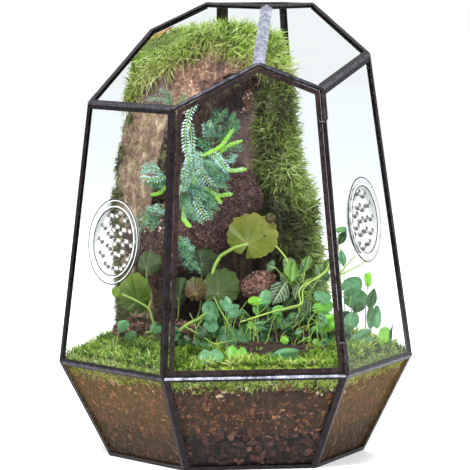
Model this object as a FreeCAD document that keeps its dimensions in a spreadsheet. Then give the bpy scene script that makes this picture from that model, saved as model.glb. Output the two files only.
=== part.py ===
import FreeCAD, Part
import math
import os
import Sketcher

# Glass terrarium: clear panes joined by soldered foil seams, a hinged front door,
# two plastic vents and a planted landscape. Millimetres, Z up, door towards -Y.

Vector = FreeCAD.Vector
Placement = FreeCAD.Placement
Rotation = FreeCAD.Rotation
UP = Vector(0, 0, 1)

doc = FreeCAD.newDocument("glass_terrarium")

# Driving dimensions: alias, value, what it sets. Angles are in degrees.
SIZES = (
    ("glass_thickness", 2.0, "every pane"),
    ("pane_edge_clearance", 0.2, "pane edge to the fold line, past half the glass"),
    ("solder_height", 0.4, "foil and solder over each face of the glass"),
    ("solder_crest", 0.2, "extra height of the bead on a fold line"),
    ("base_corner_radius", 105.4, "centre to corner of the base hexagon"),
    ("girdle_corner_radius", 146.0, "centre to corner of the widest hexagon"),
    ("girdle_rise", 78.3, "girdle above the base plane"),
    ("overall_rise", 369.0, "top pane above the base plane"),
    ("peak_drop", 43.0, "peak of the door opening below the top pane"),
    ("eave_drop", 35.1, "left eave below the peak"),
    ("roof_right_heading", -49.4, "compass angle that the right roof pane faces"),
    ("base_strip", 2.8, "foil width along the base edges"),
    ("lower_strip", 3.8, "foil width along the lower slanting edges"),
    ("girdle_strip", 2.6, "foil width along the girdle"),
    ("corner_strip", 3.2, "foil width along the wall corners"),
    ("front_corner_strip", 4.2, "foil width on the left wall beside the door"),
    ("hinge_corner_strip", 2.0, "foil width on the right wall beside the hinge"),
    ("eave_left_strip", 4.2, "foil width along the left eave"),
    ("eave_right_strip", 4.8, "foil width along the right eave"),
    ("header_strip", 2.4, "foil width on the roof above the door"),
    ("ridge_strip", 4.7, "foil width along the ridge and the middle back seam"),
    ("rim_strip", 2.4, "foil width round the top pane"),
    ("front_side_strip", 2.5, "frame strip beside the door, left"),
    ("front_sill_strip", 2.2, "frame strip below the door"),
    ("front_header_strip", 1.0, "frame strip above the door"),
    ("door_clearance", 0.3, "door band to the frame above, below and at the hinge"),
    ("door_side_gap", 1.2, "door band to the frame strip at the free edge"),
    ("door_band_width", 3.7, "foil and solder band round the door pane"),
    ("door_glass_margin", 0.8, "door glass inside the band's outer edge"),
    ("door_band_round", 0.3, "rounding of the band's long edges"),
    ("sleeve_length", 23.0, "each hinge sleeve"),
    ("sleeve_wall", 0.9, "wall of a hinge sleeve"),
    ("sleeve_end_gap", 1.5, "sleeve end to the corner of the door opening"),
    ("hinge_bearing", 11.6, "sleeve's place round the corner bead, from straight ahead"),
    ("pin_radius", 1.0, "hinge pin wire"),
    ("pin_clearance", 0.1, "pin to the sleeve's bore"),
    ("pin_engagement", 15.0, "length of pin inside its sleeve"),
    ("pin_tail_length", 8.0, "wire soldered along the door band"),
    ("pin_end_play", 0.4, "pin arm to the sleeve's end"),
    ("vent_flange_overlap", 5.9, "flange past the hub, on the glass"),
    ("vent_flange_thickness", 1.5, "vent flange on the glass"),
    ("vent_hub_radius", 28.6, "part of the vent that passes through the pane"),
    ("vent_hole_clearance", 0.3, "hole in the pane round the hub"),
    ("vent_hub_depth", 5.0, "hub behind the flange"),
    ("vent_wall", 1.4, "hub wall and floor"),
    ("vent_boss_radius", 3.0, "outside of a vent boss"),
    ("vent_hole_radius", 1.3, "air hole through a boss"),
    ("vent_boss_rise", 3.0, "boss above the vent floor"),
    ("vent_boss_margin", 1.6, "outer ring of bosses to the hub wall"),
    ("left_vent_rise", 103.4, "left vent centre above the girdle, along the pane"),
    ("left_vent_shift", -8.7, "left vent centre from the middle of its wall"),
    ("right_vent_rise", 119.4, "right vent centre above the girdle, along the pane"),
    ("right_vent_shift", -1.0, "right vent centre from the middle of its wall"),
    ("content_clearance", 0.3, "planting to the solder inside the case"),
    ("drainage_depth", 29.0, "clay pebbles above the base plane"),
    ("soil_depth", 35.0, "bark substrate on the pebbles"),
    ("moss_edge_depth", 19.0, "moss at the walls, on the substrate"),
    ("moss_crown_height", 20.0, "moss in the middle above its edge"),
    ("bark_headroom", 28.7, "top of the hollow bark below the top pane"),
    ("moss_thickness", 7.0, "moss blanket on the bark"),
    ("leaf_thickness", 0.8, "every leaf and frond"),
    ("stalk_radius", 0.9, "every leaf stalk and runner"),
    ("begonia_leaf_radius", 20.0, "large begonia leaf"),
    ("creeper_leaf_radius", 9.0, "round creeper leaf"),
    ("nerve_leaf_radius", 10.0, "half length of a white veined leaf"),
    ("frond_width", 13.0, "fern frond across its leaflets"),
)

sheet = doc.addObject("Spreadsheet::Sheet", "Sizes")
for row, (alias, value, note) in enumerate(SIZES, start=1):
    sheet.set("A%d" % row, alias)
    sheet.set("B%d" % row, str(value))
    sheet.setAlias("B%d" % row, alias)
    sheet.set("C%d" % row, note)
doc.recompute()


def size(alias):
    return float(sheet.get(alias))


# Values that follow from the driving dimensions.
SIDES = ("front", "right", "back_right", "back", "back_left", "left")
FRONT_HEADING = -90
SIDE_TURN = 360 / len(SIDES)
half_glass = size("glass_thickness") / 2
pane_gap = half_glass + size("pane_edge_clearance")
half_strip = half_glass + size("solder_height")
bead_radius = half_strip + size("solder_crest")
# The solder under the base is dressed flat, level with the foil strips.
base_plane = half_strip
girdle_level = base_plane + size("girdle_rise")
top_level = base_plane + size("overall_rise")
peak_level = top_level - size("peak_drop")
eave_level = peak_level - size("eave_drop")
girdle_radius = size("girdle_corner_radius")
girdle_apothem = girdle_radius * math.cos(math.radians(SIDE_TURN / 2))
base_apothem = size("base_corner_radius") * math.cos(math.radians(SIDE_TURN / 2))
bore_radius = size("pin_radius") + size("pin_clearance")
sleeve_radius = bore_radius + size("sleeve_wall")
soil_rise = size("drainage_depth") + size("soil_depth")
moss_edge_rise = soil_rise + size("moss_edge_depth")
moss_crown_rise = moss_edge_rise + size("moss_crown_height")
bark_height = top_level - girdle_level - size("bark_headroom")
# How far each wall has leaned in at the top, and where the front corner of the top pane lies,
# as shares of the girdle's own radius.
setback_shares = {
    "front": 0.2823,
    "right": 0.2742,
    "back_right": 0.2823,
    "back": 0.2742,
    "back_left": 0.2336,
    "left": 0.2417,
}
top_corner_shares = (0.1973, 0.1315)
far = 2 * (size("overall_rise") + girdle_radius)


# Planes of the panes, each a unit normal that points outwards and a point.

def heading(angle, elevation=0):
    a = math.radians(angle)
    e = math.radians(elevation)
    return Vector(math.cos(a) * math.cos(e), math.sin(a) * math.cos(e), math.sin(e))


def side_heading(side):
    return FRONT_HEADING + SIDE_TURN * SIDES.index(side)


def wall_plane(side):
    angle = side_heading(side)
    lean = math.degrees(math.atan2(setback_shares[side] * girdle_apothem, top_level - girdle_level))
    return heading(angle, lean), heading(angle) * girdle_apothem + UP * girdle_level


def lower_plane(side):
    angle = side_heading(side)
    flare = math.degrees(math.atan2(girdle_apothem - base_apothem, size("girdle_rise")))
    return heading(angle, -flare), heading(angle) * girdle_apothem + UP * girdle_level


def meet(*planes):
    rows = FreeCAD.Matrix()
    for index, (normal, point) in enumerate(planes, start=1):
        for column, value in enumerate((normal.x, normal.y, normal.z), start=1):
            setattr(rows, "A%d%d" % (index, column), value)
    offsets = Vector(*[normal.dot(point) for normal, point in planes])
    return rows.inverse().multVec(offsets)


PLANES = {"base": (-UP, UP * base_plane), "top": (UP, UP * top_level)}
for side in SIDES:
    PLANES[side] = wall_plane(side)
    PLANES["lower_" + side] = lower_plane(side)



def roof_plane(angle, point, top_corner):
    """A roof that faces this compass angle, through a point of its eave and a corner of the top pane."""
    climb = top_corner - point
    run = -climb.dot(heading(angle))
    return Vector(*(heading(angle) * climb.z + UP * run)).normalize(), point


corner_right, corner_back = top_corner_shares
top_corner = Vector(corner_right * girdle_radius, corner_back * girdle_radius, top_level)
eave_point = meet(PLANES["left"], PLANES["front"], (UP, UP * eave_level))
PLANES["roof_left"] = roof_plane(side_heading("left"), eave_point, top_corner)
peak_point = meet(PLANES["front"], PLANES["roof_left"], (UP, UP * peak_level))
PLANES["roof_right"] = roof_plane(size("roof_right_heading"), peak_point, top_corner)


# Corners where the fold lines meet.
CORNERS = {}
for index in range(len(SIDES)):
    turn = FRONT_HEADING - SIDE_TURN / 2 + SIDE_TURN * index
    CORNERS["base_%d" % index] = heading(turn) * size("base_corner_radius") + UP * base_plane
    CORNERS["girdle_%d" % index] = heading(turn) * girdle_radius + UP * girdle_level


def name_corner(name, *planes):
    CORNERS[name] = meet(*[PLANES[plane] for plane in planes])


middle = (Vector(1, 0, 0), Vector(0, 0, 0))
name_corner("eave_front_left", "front", "left", "roof_left")
name_corner("peak", "front", "roof_left", "roof_right")
name_corner("eave_front_right", "front", "right", "roof_right")
name_corner("eave_right", "right", "back_right", "roof_right")
name_corner("eave_left", "left", "back_left", "roof_left")
name_corner("shoulder", "back_left", "back", "roof_left")
name_corner("rim_left", "roof_left", "back", "top")
name_corner("rim_front", "roof_left", "roof_right", "top")
name_corner("rim_right", "roof_right", "back_right", "top")
name_corner("rim_back", "back_right", "back", "top")
CORNERS["back_foot"] = (CORNERS["girdle_3"] + CORNERS["girdle_4"]) / 2
CORNERS["back_head"] = meet(PLANES["back"], PLANES["top"], middle)

# Outline of each face, by corner, anticlockwise from outside.
FACES = {
    "base": ["base_%d" % i for i in reversed(range(len(SIDES)))],
    "front": ["girdle_0", "girdle_1", "eave_front_right", "peak", "eave_front_left"],
    "right": ["girdle_1", "girdle_2", "eave_right", "eave_front_right"],
    "back_right": ["girdle_2", "girdle_3", "rim_back", "rim_right", "eave_right"],
    "back": ["girdle_3", "girdle_4", "shoulder", "rim_left", "rim_back"],
    "back_a": ["girdle_3", "back_foot", "back_head", "rim_back"],
    "back_b": ["back_foot", "girdle_4", "shoulder", "rim_left", "back_head"],
    "back_left": ["girdle_4", "girdle_5", "eave_left", "shoulder"],
    "left": ["girdle_5", "girdle_0", "eave_front_left", "eave_left"],
    "roof_left": ["eave_left", "eave_front_left", "peak", "rim_front", "rim_left", "shoulder"],
    "roof_right": ["peak", "eave_front_right", "eave_right", "rim_right", "rim_front"],
    "top": ["rim_front", "rim_right", "rim_back", "rim_left"],
}
for index, side in enumerate(SIDES):
    follower = (index + 1) % len(SIDES)
    FACES["lower_" + side] = ["base_%d" % index, "base_%d" % follower,
                              "girdle_%d" % follower, "girdle_%d" % index]
PLANES["back_a"] = PLANES["back"]
PLANES["back_b"] = PLANES["back"]


def face_points(face):
    return [CORNERS[name] for name in FACES[face]]


def face_centre(face):
    points = face_points(face)
    total = Vector(0, 0, 0)
    for point in points:
        total = total + point
    return total / len(points)


def face_placement(face):
    """Origin at the face's first corner, X along its first edge, Z outwards."""
    points = face_points(face)
    along = (points[1] - points[0]).normalize()
    normal = PLANES[face][0]
    return Placement(points[0], Rotation(along, normal.cross(along), normal, "XYZ"))


def local_outline(face):
    back = face_placement(face).inverse()
    return [back.multVec(point) for point in face_points(face)]


def inset_outline(points, distances):
    """Moves each edge of a flat anticlockwise outline inwards by its own distance."""
    lines = []
    for index, point in enumerate(points):
        along = (points[(index + 1) % len(points)] - point).normalize()
        lines.append((point + UP.cross(along) * distances[index], along))
    corners = []
    for index, (point, along) in enumerate(lines):
        before, before_along = lines[index - 1]
        reach = (point - before).cross(along).z / before_along.cross(along).z
        corners.append(before + before_along * reach)
    return corners


# Document helpers.

def add_body(label):
    body = doc.addObject("PartDesign::Body", label)
    body.Label = label
    return body


def add_sketch(body, name, role="XY_Plane"):
    sketch = body.newObject("Sketcher::SketchObject", name)
    plane = [item for item in body.Origin.OriginFeatures if item.Role == role][0]
    sketch.AttachmentSupport = [(plane, "")]
    sketch.MapMode = "FlatFace"
    return sketch


def draw_outline(sketch, points):
    count = len(points)
    first = sketch.GeometryCount
    for index in range(count):
        sketch.addGeometry(Part.LineSegment(points[index], points[(index + 1) % count]))
    for index in range(count):
        following = first + (index + 1) % count
        sketch.addConstraint(Sketcher.Constraint("Coincident", first + index, 2, following, 1))


def draw_circle(sketch, centre, expression):
    index = sketch.addGeometry(Part.Circle(centre, UP, half_glass))
    rule = sketch.addConstraint(Sketcher.Constraint("Radius", index, half_glass))
    sketch.setExpression("Constraints[%d]" % rule, expression)


def add_feature(body, kind, name, sketch, **settings):
    feature = body.newObject("PartDesign::" + kind, name)
    feature.Profile = sketch
    for key, value in settings.items():
        setattr(feature, key, value)
    body.Tip = feature
    return feature


def add_shape(label, shape, placement):
    """A sub-part whose shape is worked out in place and kept in its own placement."""
    feature = doc.addObject("Part::Feature", label)
    feature.Label = label
    feature.Shape = shape.transformed(placement.inverse().toMatrix(), True)
    feature.Placement = placement
    return feature


def largest(shape):
    return max(shape.Solids, key=lambda solid: solid.Volume)


nodes = []


# Glass panes.

def make_pane(label, face):
    body = add_body(label)
    sketch = add_sketch(body, label + "_outline")
    outline = local_outline(face)
    draw_outline(sketch, inset_outline(outline, [pane_gap] * len(outline)))
    pad = add_feature(body, "Pad", label + "_sheet", sketch, SideType="Symmetric")
    pad.setExpression("Length", "Sizes.glass_thickness")
    body.Placement = face_placement(face)
    nodes.append(body)
    return body


def cut_vent_hole(body, centre):
    doc.recompute()
    before = body.Shape.Volume
    sketch = add_sketch(body, body.Label + "_vent_hole")
    draw_circle(sketch, centre, "Sizes.vent_hub_radius + Sizes.vent_hole_clearance")
    add_feature(body, "Pocket", body.Label + "_hole_cut", sketch, Type="ThroughAll", SideType="Symmetric")
    doc.recompute()
    if body.Shape.Volume >= before:
        raise RuntimeError("the vent hole cut nothing")


def vent_centre(face):
    """Vent centre in the wall's own placement: X along the girdle, Y up the pane."""
    half_side = (CORNERS["girdle_1"] - CORNERS["girdle_0"]).Length / 2
    return Vector(half_side + size(face + "_vent_shift"), size(face + "_vent_rise"), 0)


panes = {"base": make_pane("base_pane", "base")}
for side in SIDES:
    panes["lower_" + side] = make_pane("lower_pane_" + side, "lower_" + side)
for face in ("left", "right", "back_left", "back_right", "back_a", "back_b"):
    panes[face] = make_pane("wall_pane_" + face, face)
for face in ("left", "right"):
    cut_vent_hole(panes[face], vent_centre(face))
for face in ("roof_left", "roof_right", "top"):
    panes[face] = make_pane(face + "_pane", face)


# Solder seams: a round bead on each fold line with a foil strip over each pane beside it.

def seam_list():
    """Node, two corners, and the strip width on each of the two faces."""
    seams = []
    for index, side in enumerate(SIDES):
        before = SIDES[index - 1]
        base_a = "base_%d" % index
        base_b = "base_%d" % ((index + 1) % len(SIDES))
        seams.append(("base_seams", base_a, base_b,
                      {"base": "base_strip", "lower_" + side: "base_strip"}))
        seams.append(("lower_seams", base_a, "girdle_%d" % index,
                      {"lower_" + before: "lower_strip", "lower_" + side: "lower_strip"}))
        upper = "front_sill_strip" if side == "front" else "girdle_strip"
        seams.append(("girdle_seams", "girdle_%d" % index, "girdle_%d" % ((index + 1) % len(SIDES)),
                      {"lower_" + side: "girdle_strip", side: upper}))
    seams += [
        ("corner_seam_front_left", "girdle_0", "eave_front_left",
         {"left": "front_corner_strip", "front": "front_side_strip"}),
        ("corner_seam_front_right", "girdle_1", "eave_front_right", {"right": "hinge_corner_strip"}),
        ("corner_seam_right", "girdle_2", "eave_right", {"right": "corner_strip", "back_right": "corner_strip"}),
        ("corner_seam_back_right", "girdle_3", "rim_back", {"back_right": "corner_strip", "back": "corner_strip"}),
        ("corner_seam_back_left", "girdle_4", "shoulder", {"back": "corner_strip", "back_left": "corner_strip"}),
        ("corner_seam_left", "girdle_5", "eave_left", {"back_left": "corner_strip", "left": "corner_strip"}),
        ("middle_back_seam", "back_foot", "back_head", {"back_a": "ridge_strip", "back_b": "ridge_strip"}),
        ("eave_seam_left", "eave_left", "eave_front_left",
         {"left": "eave_left_strip", "roof_left": "eave_left_strip"}),
        ("eave_seam_right", "eave_front_right", "eave_right",
         {"right": "eave_right_strip", "roof_right": "eave_right_strip"}),
        ("door_header_seams", "eave_front_left", "peak",
         {"roof_left": "header_strip", "front": "front_header_strip"}),
        ("door_header_seams", "peak", "eave_front_right",
         {"roof_right": "header_strip", "front": "front_header_strip"}),
        ("ridge_seam", "peak", "rim_front", {"roof_left": "ridge_strip", "roof_right": "ridge_strip"}),
        ("rim_seams", "rim_left", "rim_front", {"roof_left": "rim_strip", "top": "rim_strip"}),
        ("rim_seams", "rim_front", "rim_right", {"roof_right": "rim_strip", "top": "rim_strip"}),
        ("rim_seams", "rim_right", "rim_back", {"back_right": "rim_strip", "top": "rim_strip"}),
        ("rim_seams", "rim_back", "rim_left", {"back": "rim_strip", "top": "rim_strip"}),
        ("back_roof_seams", "eave_left", "shoulder", {"back_left": "corner_strip", "roof_left": "corner_strip"}),
        ("back_roof_seams", "shoulder", "rim_left", {"back": "corner_strip", "roof_left": "corner_strip"}),
        ("back_roof_seams", "eave_right", "rim_right",
         {"back_right": "corner_strip", "roof_right": "corner_strip"}),
    ]
    return seams


def slab_beyond(point, normal):
    """A large block whose one face passes through the point, on the normal's side."""
    block = Part.makeBox(2 * far, 2 * far, far, Vector(-far, -far, 0))
    block.Placement = Placement(point, Rotation(UP, normal))
    return block


def into_face(face, start, end):
    along = (end - start).normalize()
    inward = PLANES[face][0].cross(along)
    if inward.dot(face_centre(face) - start) < 0:
        inward = -inward
    return inward


def seam_strip(face, start, end, width):
    normal = PLANES[face][0]
    inward = into_face(face, start, end)
    low = start - normal * half_strip
    outline = [low, low + (end - start), low + (end - start) + inward * width, low + inward * width, low]
    return Part.Face(Part.makePolygon(outline)).extrude(normal * (2 * half_strip))


def seam_solid(seam, seams):
    _, first, second, strips = seam
    start = CORNERS[first]
    end = CORNERS[second]
    along = (end - start).normalize()
    length = (end - start).Length
    bead = Part.makeCylinder(bead_radius, length + 2 * bead_radius, start - along * bead_radius, along)
    solid = bead.fuse([seam_strip(face, start, end, size(width)) for face, width in strips.items()])
    cutters = []
    for corner, outward in ((first, along), (second, -along)):
        for other in seams:
            if other is seam or corner not in other[1:3]:
                continue
            far_end = other[2] if other[1] == corner else other[1]
            other_way = (CORNERS[far_end] - CORNERS[corner]).normalize()
            cutters.append(slab_beyond(CORNERS[corner], other_way - outward))
    for pane in panes.values():
        if pane.Shape.BoundBox.intersect(solid.BoundBox):
            cutters.append(pane.Shape)
    if first.startswith("base_"):
        cutters.append(slab_beyond(Vector(0, 0, 0), -UP))
    for cutter in cutters:
        solid = solid.cut(cutter)
    return largest(solid)


doc.recompute()
SEAMS = seam_list()
seam_groups = {}
for seam in SEAMS:
    seam_groups.setdefault(seam[0], []).append(seam_solid(seam, SEAMS))
# The middle seam butts against the girdle seam below it and the rim seam above it.
butted = seam_groups["middle_back_seam"][0].cut(seam_groups["girdle_seams"] + seam_groups["rim_seams"])
seam_groups["middle_back_seam"] = [largest(butted)]
for label, solids in seam_groups.items():
    start = solids[0].BoundBox.Center
    shape = solids[0] if len(solids) == 1 else Part.makeCompound(solids)
    nodes.append(add_shape(label, shape, Placement(start, Rotation())))


# Door: a pane in a foil and solder band, inside the front opening.
door_insets = [
    size("front_sill_strip") + size("door_clearance"),
    bead_radius + size("door_clearance"),
    bead_radius + size("door_clearance"),
    bead_radius + size("door_clearance"),
    size("front_side_strip") + size("door_side_gap"),
]
door_outline = inset_outline(local_outline("front"), door_insets)
glass_outline = inset_outline(door_outline, [size("door_glass_margin")] * len(door_outline))
light_outline = inset_outline(door_outline, [size("door_band_width")] * len(door_outline))


def make_door_pane():
    body = add_body("door_pane")
    sketch = add_sketch(body, "door_pane_outline")
    draw_outline(sketch, glass_outline)
    pad = add_feature(body, "Pad", "door_pane_sheet", sketch, SideType="Symmetric")
    pad.setExpression("Length", "Sizes.glass_thickness")
    body.Placement = face_placement("front")
    nodes.append(body)


def long_edges(shape):
    """Names of the band's edges that lie in its two broad faces."""
    names = []
    for index, edge in enumerate(shape.Edges, start=1):
        levels = [abs(vertex.Point.z) for vertex in edge.Vertexes]
        if min(levels) > (half_glass + half_strip) / 2:
            names.append("Edge%d" % index)
    return names


def make_door_band():
    body = add_body("door_band")
    thickness = "Sizes.glass_thickness + 2 * Sizes.solder_height"
    outer = add_sketch(body, "door_band_outer")
    draw_outline(outer, door_outline)
    pad = add_feature(body, "Pad", "door_band_pad", outer, SideType="Symmetric")
    pad.setExpression("Length", thickness)
    light = add_sketch(body, "door_band_light")
    draw_outline(light, light_outline)
    add_feature(body, "Pocket", "door_band_opening", light, Type="ThroughAll", SideType="Symmetric")
    slot = add_sketch(body, "door_band_slot")
    draw_outline(slot, glass_outline)
    groove = add_feature(body, "Pocket", "door_band_glass_slot", slot, SideType="Symmetric")
    groove.setExpression("Length", "Sizes.glass_thickness")
    doc.recompute()
    rounding = body.newObject("PartDesign::Fillet", "door_band_rounding")
    rounding.Base = (groove, long_edges(groove.Shape))
    rounding.setExpression("Radius", "Sizes.door_band_round")
    body.Tip = rounding
    body.Placement = face_placement("front")
    nodes.append(body)
    doc.recompute()
    return body


make_door_pane()
door_band = make_door_band()


# Hinge: two sleeves soldered to the right front corner, two pins soldered to the door band.
hinge_foot = CORNERS["girdle_1"]
hinge_way = (CORNERS["eave_front_right"] - hinge_foot).normalize()
hinge_length = (CORNERS["eave_front_right"] - hinge_foot).Length
front_way = PLANES["front"][0]
door_way = into_face("front", hinge_foot, CORNERS["eave_front_right"])
hinge_reach = bead_radius + sleeve_radius
bearing = math.radians(size("hinge_bearing"))
hinge_offset = (front_way * math.cos(bearing) - door_way * math.sin(bearing)) * hinge_reach
hinge_axis_foot = hinge_foot + hinge_offset


def hinge_placement(travel):
    """On the hinge line, Z up the line and X towards the door."""
    return Placement(hinge_axis_foot + hinge_way * travel,
                     Rotation(door_way, hinge_way.cross(door_way), hinge_way, "XYZ"))


def make_sleeve(label, travel):
    body = add_body(label)
    sketch = add_sketch(body, label + "_section")
    bore = "Sizes.pin_radius + Sizes.pin_clearance"
    draw_circle(sketch, Vector(0, 0, 0), bore + " + Sizes.sleeve_wall")
    draw_circle(sketch, Vector(0, 0, 0), bore)
    pad = add_feature(body, "Pad", label + "_tube", sketch)
    pad.setExpression("Length", "Sizes.sleeve_length")
    body.Placement = hinge_placement(travel)
    nodes.append(body)


solder_seat_share = 0.8


def make_pin(label, arm_travel, upwards):
    """A bent wire: the pin in its sleeve, an arm to the door band and a tail along it."""
    radius = size("pin_radius")
    sign = 1 if upwards else -1
    elbow = hinge_axis_foot + hinge_way * arm_travel
    reach_in = bead_radius + size("door_clearance") + size("door_band_width") / 2
    seat = front_way * (half_strip + radius * solder_seat_share) + door_way * reach_in
    knee = hinge_foot + hinge_way * arm_travel + seat
    tip = elbow + hinge_way * sign * (radius + size("pin_end_play") + size("pin_engagement"))
    tail = knee - hinge_way * sign * size("pin_tail_length")
    wire = stalk(elbow, tip, radius)
    wire = wire.fuse([stalk(elbow, knee, radius), stalk(knee, tail, radius),
                      Part.makeSphere(radius, elbow), Part.makeSphere(radius, knee)])
    shape = largest(wire.cut(door_band.Shape))
    nodes.append(add_shape(label, shape, hinge_placement(arm_travel)))


def stalk(start, end, radius):
    return Part.makeCylinder(radius, (end - start).Length, start, end - start)


upper_start = hinge_length - size("sleeve_end_gap") - size("sleeve_length")
lower_start = size("sleeve_end_gap")
arm_gap = size("pin_radius") + size("pin_end_play")
make_sleeve("hinge_sleeve_upper", upper_start)
make_sleeve("hinge_sleeve_lower", lower_start)
make_pin("hinge_pin_upper", upper_start - arm_gap, True)
make_pin("hinge_pin_lower", lower_start + size("sleeve_length") + arm_gap, False)


# Vents: a flange on the glass, a shallow hub through it and rings of tubular bosses.

def vent_profile(sketch):
    wall = size("vent_wall")
    hub = size("vent_hub_radius")
    rim = hub + size("vent_flange_overlap")
    face = size("vent_flange_thickness")
    depth = size("vent_hub_depth")
    points = [(0, -depth), (hub, -depth), (hub, 0), (rim, 0), (rim, face),
              (hub - wall, face), (hub - wall, wall - depth), (0, wall - depth)]
    draw_outline(sketch, [Vector(x, y, 0) for x, y in points])


def boss_ring(body, stage, kind, radius, ring, count, **settings):
    """One boss or hole at the ring's radius, repeated round the disc."""
    floor = size("vent_wall") - size("vent_hub_depth")
    name = "%s_%s_%s" % (body.Label, stage, ring)
    sketch = add_sketch(body, name)
    sketch.AttachmentOffset = Placement(Vector(0, 0, floor), Rotation())
    outer_ring = size("vent_hub_radius") - size("vent_wall") - size("vent_boss_radius") - size("vent_boss_margin")
    draw_circle(sketch, Vector(outer_ring * ring_shares[ring], 0, 0), radius)
    feature = add_feature(body, kind, name + "_one", sketch, **settings)
    if kind == "Pad":
        feature.setExpression("Length", "Sizes.vent_boss_rise")
    doc.recompute()
    if count > 1:
        pattern = body.newObject("PartDesign::PolarPattern", name + "_all")
        pattern.Originals = [feature]
        axis = [item for item in body.Origin.OriginFeatures if item.Role == "Z_Axis"][0]
        pattern.Axis = (axis, [""])
        pattern.Angle = 360
        pattern.Occurrences = count
        body.Tip = pattern
        doc.recompute()


RINGS = (("middle", 1), ("inner", 7), ("outer", 12))
ring_shares = {"middle": 0, "inner": 0.5, "outer": 1}


def make_vent(face):
    body = add_body("vent_" + face)
    profile = add_sketch(body, body.Label + "_profile", "XZ_Plane")
    vent_profile(profile)
    axis = [item for item in body.Origin.OriginFeatures if item.Role == "Z_Axis"][0]
    add_feature(body, "Revolution", body.Label + "_disc", profile, ReferenceAxis=(axis, [""]), Angle=360)
    doc.recompute()
    for ring, count in RINGS:
        boss_ring(body, "boss", "Pad", "Sizes.vent_boss_radius", ring, count)
    solid_volume = body.Shape.Volume
    for ring, count in RINGS:
        boss_ring(body, "hole", "Pocket", "Sizes.vent_hole_radius", ring, count,
                  Type="ThroughAll", SideType="Symmetric")
    if body.Shape.Volume >= solid_volume:
        raise RuntimeError("the vent holes cut nothing")
    wall = face_placement(face)
    seat = Placement(vent_centre(face) + UP * half_glass, Rotation())
    body.Placement = wall.multiply(seat)
    nodes.append(body)


for face in ("left", "right"):
    make_vent(face)


# Space inside the case that the planting may fill.

def inside_space(offset):
    space = Part.makeBox(2 * far, 2 * far, 2 * far, Vector(-far, -far, -far))
    walls = [slab_beyond(point - normal * offset, normal) for normal, point in PLANES.values()]
    return space.cut(walls)


inside = inside_space(half_strip + size("content_clearance"))
for face in ("left", "right"):
    inside = inside.cut(Part.makeCylinder(
        size("vent_hub_radius") + size("content_clearance"),
        2 * (size("vent_hub_depth") + size("content_clearance")) + size("glass_thickness"),
        face_placement(face).multVec(vent_centre(face) - UP * (size("vent_hub_depth") + half_glass)),
        PLANES[face][0]))


def level_slab(low, high):
    return Part.makeBox(2 * far, 2 * far, high - low, Vector(-far, -far, base_plane + low))


def make_layer(label, low, high):
    layer = inside.common(level_slab(low, high))
    nodes.append(add_shape(label, largest(layer), Placement(layer.BoundBox.Center, Rotation())))


make_layer("drainage_pebbles", -size("overall_rise"), size("drainage_depth"))
make_layer("bark_substrate", size("drainage_depth"), soil_rise)


def moss_dome():
    sag = size("moss_crown_height")
    radius = (girdle_radius ** 2 + sag ** 2) / (2 * sag)
    return Part.makeSphere(radius, UP * (base_plane + moss_crown_rise - radius))


moss_space = inside.common(level_slab(soil_rise, moss_crown_rise))
moss_bed = largest(moss_space.common(moss_dome()))
nodes.append(add_shape("moss_bed", moss_bed, Placement(UP * (base_plane + soil_rise), Rotation())))


# Hollow cork bark: a rippled column less the recess in its front. Each row of a table holds
# a height as a share of bark_height, then a centre and half widths as shares of the girdle radius.
bark_foot = girdle_level
bark_shares = (
    (0.00, -0.09, 0.26, 0.59, 0.40),
    (0.30, -0.09, 0.31, 0.57, 0.36),
    (0.46, -0.11, 0.33, 0.55, 0.33),
    (0.61, -0.12, 0.36, 0.50, 0.29),
    (0.80, -0.10, 0.41, 0.445, 0.235),
    (0.935, -0.095, 0.465, 0.395, 0.18),
    (1.00, -0.055, 0.49, 0.34, 0.14),
)
recess_shares = (
    (-0.04, -0.10, 0.02, 0.36, 0.36),
    (0.46, -0.11, 0.10, 0.33, 0.32),
    (0.80, -0.09, 0.26, 0.28, 0.22),
    (0.91, -0.07, 0.34, 0.18, 0.12),
)
RIPPLES = 5
ripple_share = 0.04
RING_POINTS = 14


def ripple_ring(centre, across, deep, half_across, half_deep, phase):
    points = []
    for index in range(RING_POINTS):
        angle = math.tau * index / RING_POINTS
        ripple = 1 + ripple_share * math.cos(RIPPLES * angle + phase)
        points.append(centre + across * (half_across * ripple * math.cos(angle))
                      + deep * (half_deep * ripple * math.sin(angle)))
    return points


def flat_face(points):
    return Part.Face(Part.makePolygon(points + points[:1]))


def faceted_solid(rings):
    """A solid with flat facets through rings of points, closed by its end rings."""
    faces = [flat_face(rings[0]), flat_face(rings[-1])]
    for lower, upper in zip(rings, rings[1:]):
        for index in range(RING_POINTS):
            after = (index + 1) % RING_POINTS
            faces.append(flat_face([lower[index], lower[after], upper[after]]))
            faces.append(flat_face([lower[index], upper[after], upper[index]]))
    solid = Part.Solid(Part.makeShell(faces))
    if solid.Volume < 0:
        solid.reverse()
    return solid


def rippled_column(shares, growth):
    rings = []
    for index, (rise, x, y, half_x, half_y) in enumerate(shares):
        centre = Vector(x * girdle_radius, y * girdle_radius, bark_foot + rise * bark_height)
        if index == len(shares) - 1:
            centre = centre + UP * growth
        rings.append(ripple_ring(centre, Vector(1, 0, 0), Vector(0, 1, 0),
                                 half_x * girdle_radius + growth, half_y * girdle_radius + growth, index))
    return faceted_solid(rings)


bark_outer = rippled_column(bark_shares, 0)
recess = rippled_column(recess_shares, 0)
cork_bark = largest(bark_outer.cut([recess, moss_dome()]).common(inside))
nodes.append(add_shape("cork_bark", cork_bark, Placement(UP * bark_foot, Rotation())))

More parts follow.
